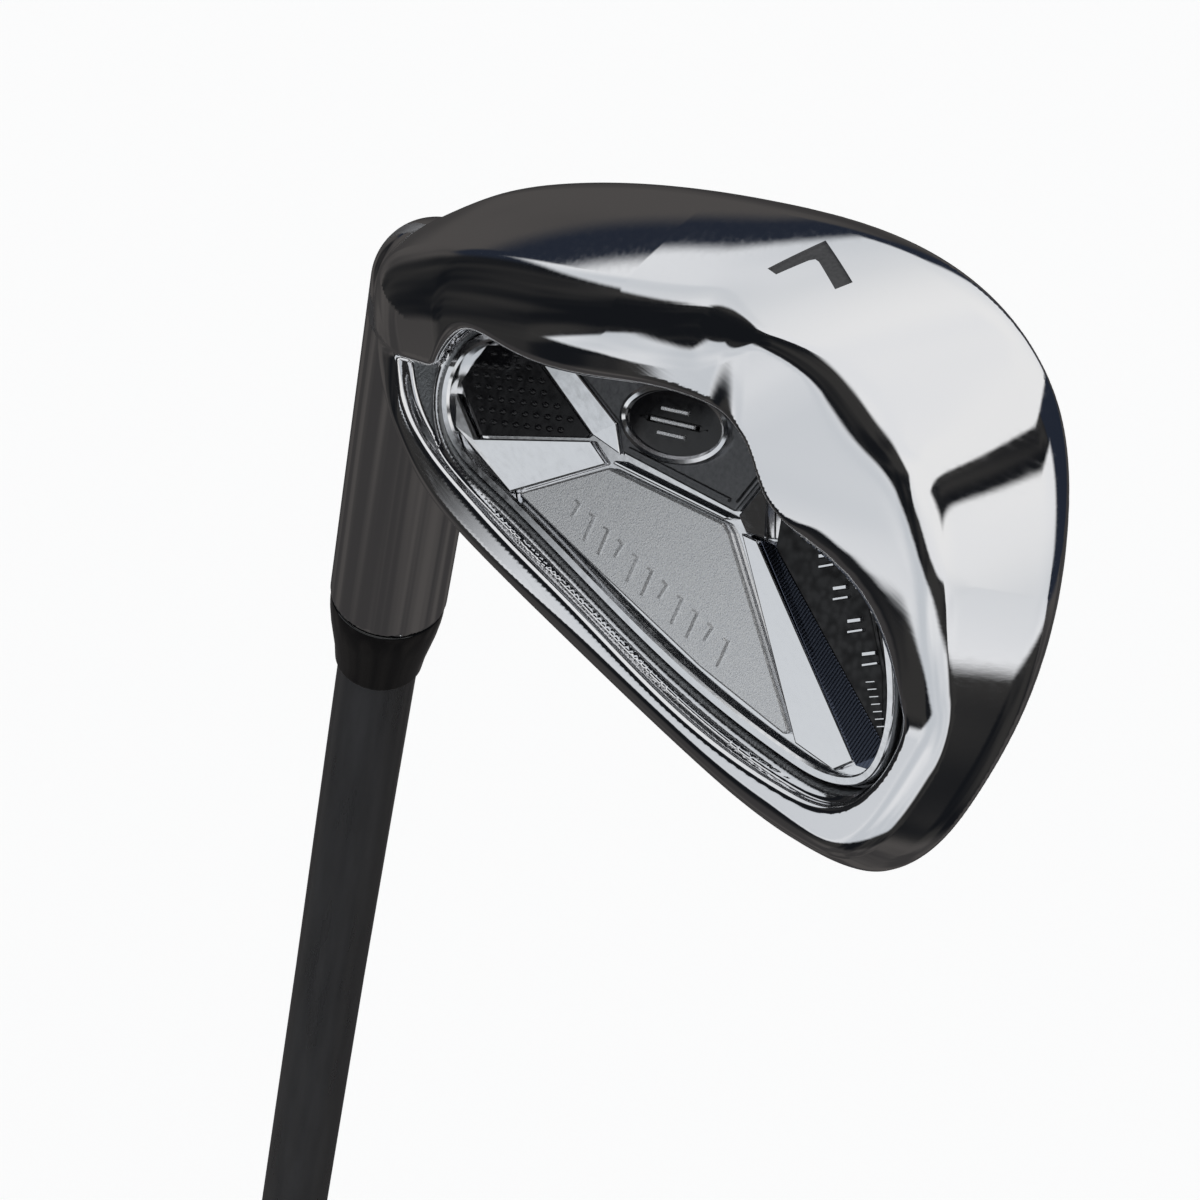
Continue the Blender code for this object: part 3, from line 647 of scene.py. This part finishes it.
# ---- the badge -----------------------------------------------------------------------------------
BADGE_LOW, BADGE_BED, PANEL_TOP = 3.7, 4.35, 5.15
STRIP_WIDTH = 0.9
SATIN_PLATE = [(18.6, 29.6), (29.3, 25.2), (43.8, 27.6), (44.6, 28.3), (55.3, 43.9), (54.6, 44.2),
               (44.0, 40.6), (30.4, 34.8)]
HEEL_PLATE = [(10.8, 16.6), (16.2, 16.0), (26.0, 22.6), (25.4, 23.1), (12.0, 25.2), (8.2, 20.6)]
BEZEL_PLATE = [(20.7, 15.4), (45.4, 15.6), (47.6, 22.2), (44.8, 26.4), (30.6, 23.6), (29.5, 20.9)]
TOE_PLATE = [(49.6, 18.6), (54.2, 22.6), (60.0, 29.8), (63.6, 36.8), (64.9, 42.4), (49.9, 28.6)]
MEDALLION, MEDALLION_X, MEDALLION_U = (36.4, 19.9), 6.6, 3.7


def solid_mesh(name, bm, bevel=0.0, smooth=False):
    """Finish a closed bmesh given in millimetres, with its sharp edges broken."""
    bmesh.ops.recalc_face_normals(bm, faces=bm.faces)
    if bevel:
        sharp = [e for e in bm.edges if e.calc_face_angle(0.0) > math.radians(20.0)]
        bmesh.ops.bevel(bm, geom=sharp, offset=bevel, segments=2, profile=0.5,
                        affect="EDGES", clamp_overlap=True)
    bmesh.ops.scale(bm, vec=(MM, MM, MM), verts=bm.verts)
    mesh = bpy.data.meshes.new(name)
    bm.to_mesh(mesh)
    bm.free()
    if smooth:
        mesh.shade_smooth()
        mesh.set_sharp_from_angle(angle=math.radians(35.0))
    return mesh


def add_block(bm, top, low):
    """A closed block: a top outline of (x, u, depth) corners over a flat bottom."""
    upper = [bm.verts.new((x, b, u)) for x, u, b in top]
    lower = [bm.verts.new((x, low, u)) for x, u, _ in top]
    skin(bm, [upper, lower])


def block(name, top, low, bevel=0.14):
    bm = bmesh.new()
    add_block(bm, top, low)
    return solid_mesh(name, bm, bevel)


def level(outline, depth):
    return [(x, u, depth) for x, u in outline]


def swept(name, outline, profile, samples=8):
    """A plate whose rim profile of (inset, depth) runs round a smooth outline."""
    loop = Outline(outline, samples)
    outward = np.column_stack([loop.along[:, 1], -loop.along[:, 0]])
    bm = bmesh.new()
    rings = [[bm.verts.new((x, depth, u)) for x, u in loop.place - inset * outward]
             for inset, depth in profile]
    skin(bm, rings)
    return solid_mesh(name, bm, smooth=True)


def ellipse(scale, count=64):
    cx, cu = MEDALLION
    return [(cx + MEDALLION_X * scale * math.cos(2 * math.pi * i / count),
             cu + MEDALLION_U * scale * math.sin(2 * math.pi * i / count)) for i in range(count)]


def add_bar(bm, start, end, width, low, high, taper=0.12):
    """A raised bar between two points, its top a little narrower than its foot."""
    along = (Vector(end) - Vector(start)).normalized()
    across = Vector((-along.y, along.x))
    corners = []
    for depth, shrink in ((high, taper), (low, 0.0)):
        half = width / 2 - shrink
        for centre, side in ((start, 1), (start, -1), (end, -1), (end, 1)):
            push = shrink if centre is start else -shrink
            place = Vector(centre) + along * push + across * half * side
            corners.append(bm.verts.new((place.x, depth, place.y)))
    skin(bm, [corners[:4], corners[4:]])


def inside(point, outline, margin):
    """Whether a point lies inside a convex counter-clockwise outline by a margin."""
    for (ax, ay), (bx, by) in zip(outline, outline[1:] + outline[:1]):
        run = math.hypot(bx - ax, by - ay)
        if ((bx - ax) * (point[1] - ay) - (by - ay) * (point[0] - ax)) / run < margin:
            return False
    return True


def badge_chrome():
    m = Nodes("badge_chrome", (0.88, 0.885, 0.90), 0.1, 1.0)
    m.roughness(m.noise(900.0, 5.0, (1.0, 1.0, 3.0)), 0.07, 0.16)
    m.bump(m.noise(1500.0, 3.0), 0.05, 0.00004)
    return m.mat


def satin_silver():
    """Silver lacquer with a fine metal-flake sparkle."""
    m = Nodes("satin_silver", (0.9, 0.9, 0.92), 0.3, 0.8)
    grain = m.noise(6500.0, 2.0)
    m.colour(grain, (0.72, 0.73, 0.75), (1.0, 1.0, 1.0), 0.35, 0.65)
    m.roughness(grain, 0.24, 0.34)
    m.bump(grain, 0.25, 0.00005)
    return m.mat


def black_gloss():
    m = Nodes("black_gloss", (0.008, 0.008, 0.01), 0.12)
    m.roughness(m.noise(1200.0, 4.0), 0.08, 0.2)
    m.bump(m.noise(900.0, 2.0), 0.04, 0.00005)
    return m.mat


def black_grain():
    """Black leather grain: rounded cells with fine creases between them."""
    m = Nodes("black_grain", (0.014, 0.014, 0.015), 0.42)
    coords = m.add("ShaderNodeTexCoord")
    cells = m.add("ShaderNodeTexVoronoi", Scale=1500.0, feature="SMOOTH_F1")
    m.link(coords.outputs["Object"], cells.inputs["Vector"])
    m.colour(cells.outputs["Distance"], (0.024, 0.024, 0.026), (0.006, 0.006, 0.007), 0.2, 0.8)
    m.roughness(cells.outputs["Distance"], 0.34, 0.55)
    m.bump(cells.outputs["Distance"], -0.9, 0.00022)
    return m.mat


def gunmetal():
    m = Nodes("gunmetal", (0.16, 0.163, 0.17), 0.34, 0.9)
    grain = m.noise(2200.0, 4.0)
    m.colour(grain, (0.12, 0.122, 0.128), (0.2, 0.203, 0.21))
    m.roughness(grain, 0.28, 0.42)
    m.bump(grain, 0.12, 0.00006)
    return m.mat


def badge():
    chrome, satin, gloss = badge_chrome(), satin_silver(), black_gloss()
    grain, dark = black_grain(), gunmetal()
    rim = [(0.0, BADGE_LOW), (0.0, 5.25), (0.12, 5.46), (STRIP_WIDTH - 0.2, 5.42),
           (STRIP_WIDTH, 5.2), (STRIP_WIDTH + 0.05, BADGE_BED)]
    place_piece(swept("badge_frame_visual", BADGE_OUTLINE, rim), BLADE, [chrome], "badge_frame")

    place_piece(block("satin_plate", level(SATIN_PLATE, PANEL_TOP), BADGE_BED, 0.22),
                BLADE, [satin], "satin_panel")
    marks = bmesh.new()
    for i in range(11):
        foot = Vector((26.4 + 2.02 * i, 28.9 + 0.86 * i))
        add_bar(marks, foot, foot + Vector((-0.8, 2.6 if i % 3 else 1.5)), 0.85, PANEL_TOP - 0.05,
                PANEL_TOP + 0.3, 0.16)
    place_piece(solid_mesh("satin_plate_marks", marks), BLADE, [satin])

    place_piece(block("heel_plate", level(HEEL_PLATE, 4.75), BADGE_BED, 0.1), BLADE,
                [gloss], "heel_panel")
    dots = bmesh.new()
    for row in range(9):
        for column in range(14):
            centre = (8.6 + 1.45 * column + 0.5 * row, 16.4 + 1.05 * row - 0.12 * column)
            if inside(centre, HEEL_PLATE, 0.65):
                place = Matrix.Translation((centre[0], 4.74, centre[1])) @ Matrix.Diagonal(
                    (0.42, 0.26, 0.3, 1.0))
                bmesh.ops.create_uvsphere(dots, u_segments=12, v_segments=8, radius=1.0,
                                          matrix=place)
    place_piece(solid_mesh("heel_plate_dots", dots, smooth=True), BLADE, [gloss])

    facets = bmesh.new()
    add_block(facets, [(8.6, 21.6, 5.55), (12.1, 25.5, 5.5), (26.3, 23.2, 4.9), (28.7, 25.0, 4.8),
                       (17.6, 29.7, 5.2), (9.3, 24.9, 5.55)], BADGE_BED)
    add_block(facets, [(16.8, 15.7, 5.4), (20.3, 15.4, 5.2), (29.1, 21.1, 4.95), (30.2, 23.9, 4.9),
                       (26.6, 22.7, 5.15)], BADGE_BED)
    add_block(facets, [(30.0, 24.4, 5.3), (44.9, 27.0, 5.3), (43.9, 27.3, 5.25),
                       (29.7, 24.8, 5.25)], BADGE_BED)
    add_block(facets, [(46.4, 28.0, 5.75), (48.3, 28.3, 5.7), (62.6, 44.6, 5.2), (60.6, 45.9, 5.2),
                       (56.2, 44.6, 5.35)], BADGE_BED)
    add_block(facets, [(45.4, 26.6, 5.3), (48.0, 22.8, 5.3), (49.2, 28.0, 5.7), (46.6, 28.0, 5.3)],
              BADGE_BED)
    place_piece(solid_mesh("badge_facets", facets, 0.16), BLADE, [chrome])

    place_piece(block("bezel_plate", level(BEZEL_PLATE, 5.2), BADGE_BED, 0.2), BLADE,
                [dark], "medallion_bezel")
    ridge = bmesh.new()
    add_bar(ridge, (31.4, 23.1), (44.2, 25.5), 0.5, 5.1, 5.5)
    add_bar(ridge, (44.8, 25.5), (47.0, 22.2), 0.5, 5.1, 5.5)
    place_piece(solid_mesh("bezel_ridge", ridge), BLADE, [dark])

    ring = [(0.0, 4.9), (0.0, 5.45), (0.15, 5.75), (0.5, 5.85), (0.8, 5.7), (0.9, 5.3)]
    place_piece(swept("medallion_rim", ellipse(1.0, 24), ring, 4), BLADE, [chrome], "medallion_ring")
    dome = [(0.0, 5.25), (0.0, 5.45), (0.6, 5.52), (1.6, 5.58), (2.6, 5.6)]
    place_piece(swept("medallion_face", ellipse(0.86, 24), dome, 4), BLADE, [gloss], "medallion_disc")
    emblem = bmesh.new()
    cx, cu = MEDALLION
    for shift, half in ((-1.1, 1.7), (0.0, 2.7), (1.1, 1.7)):
        add_bar(emblem, (cx - half, cu + shift), (cx + half, cu + shift), 0.5, 5.5, 5.82)
    place_piece(solid_mesh("medallion_bars", emblem), BLADE, [satin], "medallion_emblem")

    place_piece(block("toe_plate", level(TOE_PLATE, 4.95), BADGE_BED, 0.12), BLADE,
                [grain], "toe_panel")
    raised = bmesh.new()
    for i in range(5):
        share = i / 4
        foot = Vector((52.6 + 8.6 * share, 26.0 + 9.6 * share))
        add_bar(raised, foot, foot + Vector((1.5, -0.5)), 0.5, 4.9, 5.22)
        add_bar(raised, foot + Vector((0.2, 0.9)), foot + Vector((1.9, 0.3)), 0.4, 4.9, 5.22)
    for i in range(7):
        share = i / 6
        foot = Vector((62.1 + 2.0 * share, 37.8 + 3.4 * share))
        add_bar(raised, foot, foot + Vector((0.95, -0.28)), 0.16, 4.9, 5.08, 0.04)
    place_piece(solid_mesh("toe_plate_marks", raised), BLADE, [chrome])

    fin = block("fin_blade", [(48.6, 28.2, 5.7), (49.6, 28.4, 4.8), (65.4, 43.1, 4.6),
                              (64.7, 45.0, 4.7), (62.8, 44.9, 5.2)], BADGE_BED, 0.08)
    place_piece(fin, BLADE, [fin_navy()], "toe_fin")


def fin_navy():
    """Dark blue-black chrome with very fine ribs across the fin."""
    m = Nodes("fin_navy", (0.10, 0.12, 0.17), 0.2, 1.0)
    coords = m.add("ShaderNodeTexCoord")
    ribs = m.add("ShaderNodeTexWave", Scale=1050.0, Distortion=0.0)
    m.link(coords.outputs["Object"], ribs.inputs["Vector"])
    m.colour(ribs.outputs["Fac"], (0.09, 0.105, 0.15), (0.14, 0.16, 0.21))
    m.roughness(ribs.outputs["Fac"], 0.14, 0.28)
    m.bump(ribs.outputs["Fac"], 0.3, 0.00004)
    return m.mat


# ---- shaft, ferrule and grip ---------------------------------------------------------------------
def turned(name, profile, segments=96):
    """A surface of revolution about the shaft's axis from (radius, height) pairs, closed ends."""
    bm = bmesh.new()
    rings = []
    for radius, height in profile:
        rings.append([bm.verts.new((radius * math.cos(2 * math.pi * i / segments),
                                    radius * math.sin(2 * math.pi * i / segments), height))
                      for i in range(segments)])
    skin(bm, rings)
    return solid_mesh(name, bm, smooth=True)


def arc_profile(radius, height, round_radius, start, end, steps=6):
    """Points of a rounded corner in (radius, height), centred inside the corner."""
    return [(radius + round_radius * math.cos(math.radians(start + (end - start) * i / steps)),
             height + round_radius * math.sin(math.radians(start + (end - start) * i / steps)))
            for i in range(steps + 1)]


def ferrule_black():
    m = Nodes("ferrule_black", (0.007, 0.007, 0.008), 0.1)
    m.shader.inputs["Coat Weight"].default_value = 0.6
    m.shader.inputs["Coat Roughness"].default_value = 0.05
    m.roughness(m.noise(500.0, 5.0, (1.0, 1.0, 4.0)), 0.08, 0.18)
    m.bump(m.noise(700.0, 2.0), 0.05, 0.00005)
    return m.mat


def graphite():
    """Charcoal lacquer over wound carbon: faint slanting fibre bands under a clear coat."""
    m = Nodes("graphite", (0.13, 0.132, 0.14), 0.34, 0.5)
    fibre = m.noise(420.0, 6.0, (1.0, 1.0, 0.12))
    m.colour(fibre, (0.115, 0.117, 0.124), (0.165, 0.168, 0.178))
    m.roughness(fibre, 0.24, 0.38)
    m.bump(fibre, 0.08, 0.00004)
    m.shader.inputs["Coat Weight"].default_value = 0.5
    m.shader.inputs["Coat Roughness"].default_value = 0.12
    return m.mat


def grip_rubber():
    m = Nodes("grip_rubber", (0.018, 0.018, 0.019), 0.78)
    grain = m.noise(1600.0, 5.0)
    m.colour(grain, (0.012, 0.012, 0.013), (0.03, 0.03, 0.032))
    m.roughness(grain, 0.66, 0.9)
    m.bump(grain, 0.4, 0.00012)
    return m.mat


def cap_rubber():
    m = Nodes("cap_rubber", (0.03, 0.03, 0.032), 0.6)
    grain = m.noise(2200.0, 4.0)
    m.colour(grain, (0.02, 0.02, 0.021), (0.045, 0.045, 0.047))
    m.roughness(grain, 0.5, 0.7)
    m.bump(grain, 0.25, 0.00008)
    return m.mat


def ferrule():
    high, low = FERRULE_TOP, FERRULE_TOP - FERRULE_LENGTH
    profile = ([(SHAFT_TIP + 0.05, low)] + arc_profile(FERRULE_SMALL - 0.35, low + 0.35, 0.35, -90, 0)
               + [(FERRULE_SMALL + 0.25, low + 2.6), (FERRULE_LARGE - 0.35, low + 7.0),
                  (FERRULE_LARGE - 0.08, high - 2.4), (FERRULE_LARGE, high - 1.3)]
               + arc_profile(FERRULE_LARGE - 0.25, high - 0.25, 0.25, 0, 90)
               + [(SHAFT_TIP + 0.05, high)])
    place_piece(turned("ferrule_visual", profile), AXIS_MM, [ferrule_black()], "ferrule")


def shaft():
    parallel = SHAFT_LOW - 110.0
    profile = [(SHAFT_BUTT - 0.3, 6.0), (SHAFT_BUTT, 6.3), (SHAFT_TIP, parallel),
               (SHAFT_TIP, SHAFT_LOW - 0.3), (SHAFT_TIP - 0.3, SHAFT_LOW)]
    place_piece(turned("shaft_visual", profile), AXIS_MM, [graphite()], "shaft")


def grip():
    """Moulded rubber sleeve: rows of raised diamonds between plain bands and rings."""
    segments, pitch = 144, 0.8
    heights = [GRIP_TOP + 0.3 + pitch * i for i in range(int((GRIP_LENGTH - 0.6) / pitch) + 1)]
    bm = bmesh.new()
    rings = []
    for height in heights:
        share = (height - GRIP_TOP) / GRIP_LENGTH
        base = GRIP_LARGE + (GRIP_SMALL - GRIP_LARGE) * share - GRIP_RELIEF
        patterned = 0.06 < share < 0.93 and abs(share - 0.5) > 0.012
        ringed = 0.3 if 0.94 < share < 0.985 and int(height / 1.6) % 2 else 0.0
        ring = []
        for i in range(segments):
            angle = 2 * math.pi * i / segments
            weave = math.sin(18 * angle + height * 0.9) * math.sin(18 * angle - height * 0.9)
            sunk = patterned and weave <= -0.05
            radius = base + (0.0 if sunk else GRIP_RELIEF) - ringed
            ring.append(bm.verts.new((radius * math.cos(angle), radius * math.sin(angle), height)))
        rings.append(ring)
    skin(bm, rings)
    mesh = solid_mesh("grip_visual", bm)
    mesh.shade_smooth()
    place_piece(mesh, AXIS_MM, [grip_rubber()], "grip")


def grip_cap():
    edge = GRIP_LARGE
    profile = ([(1.1, 1.4), (1.1, 0.5), (1.5, 0.15), (4.0, 0.0), (4.4, 0.35), (5.0, 0.35), (5.4, 0.0),
                (8.2, 0.05), (8.6, 0.4), (9.2, 0.4), (9.6, 0.12)]
               + arc_profile(edge - 2.0, 2.1, 2.0, -90, 0) + [(edge, 4.2), (edge - 0.3, 4.45)])
    place_piece(turned("grip_cap_visual", profile), AXIS_MM, [cap_rubber()], "grip_end_cap")


def hidden_finishes():
    """Materials of the pieces inside the club, which keep their CAD shapes."""
    finishes = {
        "badge_adhesive": simple("foam_tape", (0.7, 0.7, 0.67), 0.9),
        "epoxy_bond": simple("epoxy", (0.55, 0.5, 0.36), 0.4),
        "tip_weight": simple("brass", (0.72, 0.52, 0.22), 0.35, 1.0),
        "grip_tape": simple("paper_tape", (0.7, 0.68, 0.62), 0.8),
    }
    for node, finish in finishes.items():
        slots = bpy.data.objects[node].material_slots
        if slots:
            slots[0].material = finish
        else:
            bpy.data.objects[node].data.materials.append(finish)


head()
badge()
ferrule()
shaft()
grip()
grip_cap()
hidden_finishes()


# ---- stage, light and camera ---------------------------------------------------------------------
def floor_paper():
    """Matt white paper, lit evenly from behind like a light table."""
    m = Nodes("floor_paper", (0.6, 0.6, 0.6), 0.9)
    m.roughness(m.noise(3.0, 2.0), 0.85, 0.95)
    m.shader.inputs["Emission Color"].default_value = (1.0, 1.0, 1.0, 1.0)
    m.shader.inputs["Emission Strength"].default_value = 0.68
    return m.mat


def add_floor():
    bpy.ops.mesh.primitive_plane_add(size=30.0, location=(0.0, 0.0, -0.02))
    floor = bpy.context.object
    floor.name = "floor"
    floor.data.materials.append(floor_paper())
    floor.visible_glossy = False
    floor.visible_diffuse = False


class WorldNodes:
    """Arithmetic on the direction of a ray, for a studio seen only in reflections."""

    def __init__(self):
        world = bpy.data.worlds.new("studio")
        bpy.context.scene.world = world
        world.use_nodes = True
        self.tree = world.node_tree
        coords = self.tree.nodes.new("ShaderNodeTexCoord")
        self.direction = coords.outputs["Generated"]
        split = self.tree.nodes.new("ShaderNodeSeparateXYZ")
        self.tree.links.new(self.direction, split.inputs[0])
        self.x, self.y, self.z = split.outputs
        self.azimuth = self.math("MULTIPLY", self.math("ARCTAN2", self.y, self.x), 180.0 / math.pi)
        self.elevation = self.math("MULTIPLY", self.math("ARCSINE", self.z), 180.0 / math.pi)

    def math(self, operation, *values):
        node = self.tree.nodes.new("ShaderNodeMath")
        node.operation = operation
        for socket, value in zip(node.inputs, values):
            if isinstance(value, (int, float)):
                socket.default_value = value
            else:
                self.tree.links.new(value, socket)
        return node.outputs[0]

    def step(self, value, low, high):
        """0 below low, 1 above high (or the reverse if low is the larger)."""
        node = self.tree.nodes.new("ShaderNodeMapRange")
        node.interpolation_type = "SMOOTHSTEP"
        node.inputs["From Min"].default_value = min(low, high)
        node.inputs["From Max"].default_value = max(low, high)
        node.inputs["To Min"].default_value = 0.0 if low < high else 1.0
        node.inputs["To Max"].default_value = 1.0 if low < high else 0.0
        self.tree.links.new(value, node.inputs["Value"])
        return node.outputs["Result"]

    def noise(self, stretch, scale):
        mapping = self.tree.nodes.new("ShaderNodeMapping")
        mapping.inputs["Scale"].default_value = stretch
        node = self.tree.nodes.new("ShaderNodeTexNoise")
        node.inputs["Scale"].default_value = scale
        node.inputs["Detail"].default_value = 2.0
        self.tree.links.new(self.direction, mapping.inputs["Vector"])
        self.tree.links.new(mapping.outputs["Vector"], node.inputs["Vector"])
        return node.outputs["Fac"]

    def product(self, *values):
        result = values[0]
        for value in values[1:]:
            result = self.math("MULTIPLY", result, value)
        return result

    def mix(self, factor, first, second):
        node = self.tree.nodes.new("ShaderNodeMix")
        node.data_type = "RGBA"
        self.tree.links.new(factor, node.inputs["Factor"])
        for socket, value in zip((node.inputs[6], node.inputs[7]), (first, second)):
            if isinstance(value, tuple):
                socket.default_value = (*value, 1.0)
            else:
                self.tree.links.new(value, socket)
        return node.outputs[2]


def add_world():
    """A studio seen in reflections: white ceiling and tall window, dark walls, brown-grey ground.

    The bearing runs 0 to 360 degrees anticlockwise from +X, the elevation is up from the horizon.
    """
    w = WorldNodes()
    bearing = w.math("FLOORED_MODULO", w.azimuth, 360.0)
    left = w.math("ABSOLUTE", w.math("SUBTRACT", bearing, 162.0))
    edge = w.math("MINIMUM", w.math("MULTIPLY_ADD", left, 0.95, 4.5), 30.0)
    behind = w.product(w.step(bearing, 190.0, 200.0), w.step(bearing, 314.0, 306.0))
    edge = w.math("MULTIPLY_ADD", behind, 22.0, edge)
    edge = w.math("MULTIPLY_ADD", w.product(behind, w.step(bearing, 240.0, 256.0)), -16.0, edge)
    edge = w.math("MULTIPLY_ADD", w.step(bearing, 306.0, 316.0), -16.0, edge)
    height = w.math("SUBTRACT", w.elevation, edge)
    ceiling = w.step(height, 0.0, 5.0)
    window = w.product(w.step(bearing, 219.5, 222.5), w.step(bearing, 314.0, 306.0),
                       w.step(w.elevation, -17.0, -12.0), w.step(w.elevation, 20.0, 14.0))
    gap = w.product(w.step(w.x, 0.12, 0.16), w.step(w.x, 0.43, 0.37), w.step(w.y, -0.34, -0.24),
                    w.step(w.z, 0.70, 0.80))
    flag = w.product(w.step(w.x, 0.12, 0.18), w.step(w.y, -0.03, 0.05))
    shade = w.math("SUBTRACT", 1.0, w.math("MAXIMUM", gap, flag))
    light = w.math("MULTIPLY", w.math("MAXIMUM", ceiling, window), shade)
    patches = w.step(w.noise((1.0, 1.0, 0.35), 3.2), 0.40, 0.64)
    ground = w.mix(patches, (0.045, 0.043, 0.043), (0.080, 0.075, 0.072))
    navy = w.step(height, -13.0, -6.0)
    dusk = w.mix(navy, ground, (0.018, 0.023, 0.036))
    wall = w.mix(patches, (0.008, 0.009, 0.011), (0.035, 0.034, 0.033))
    low = w.step(w.elevation, -42.0, -30.0)
    dark = w.mix(w.product(w.step(bearing, 163.0, 170.0), low), dusk, wall)
    clouds = w.step(w.noise((1.0, 1.0, 1.0), 1.6), 0.35, 0.65)
    high = w.mix(w.step(w.elevation, 18.0, 58.0), (0.60, 0.63, 0.66), (0.90, 0.90, 0.89))
    bright = w.mix(clouds, high, (0.84, 0.85, 0.86))
    room = w.mix(light, dark, bright)
    seen = w.tree.nodes.new("ShaderNodeLightPath").outputs["Is Camera Ray"]
    shown = w.mix(seen, room, (0.93, 0.93, 0.93))
    w.tree.links.new(shown, w.tree.nodes["Background"].inputs["Color"])
    bpy.context.scene.view_settings.view_transform = "Standard"


CAMERA_PLACE = Vector((0.1296, -0.1695, 1.1249))
CAMERA_FORWARD = Vector((-0.3406, 0.5669, -0.7500))
CAMERA_UP = Vector((-0.5774, 0.5035, 0.6428))
LENS = 85.1


def add_camera():
    data = bpy.data.cameras.new("camera")
    data.lens = LENS
    data.sensor_width = 36.0
    camera = bpy.data.objects.new("camera", data)
    bpy.context.scene.collection.objects.link(camera)
    back = -CAMERA_FORWARD.normalized()
    right = CAMERA_UP.cross(back).normalized()
    up = back.cross(right)
    camera.matrix_world = (Matrix.Translation(CAMERA_PLACE)
                           @ Matrix((right, up, back)).transposed().to_4x4())
    data.clip_start = 0.01
    bpy.context.scene.camera = camera


add_floor()
add_world()
add_camera()
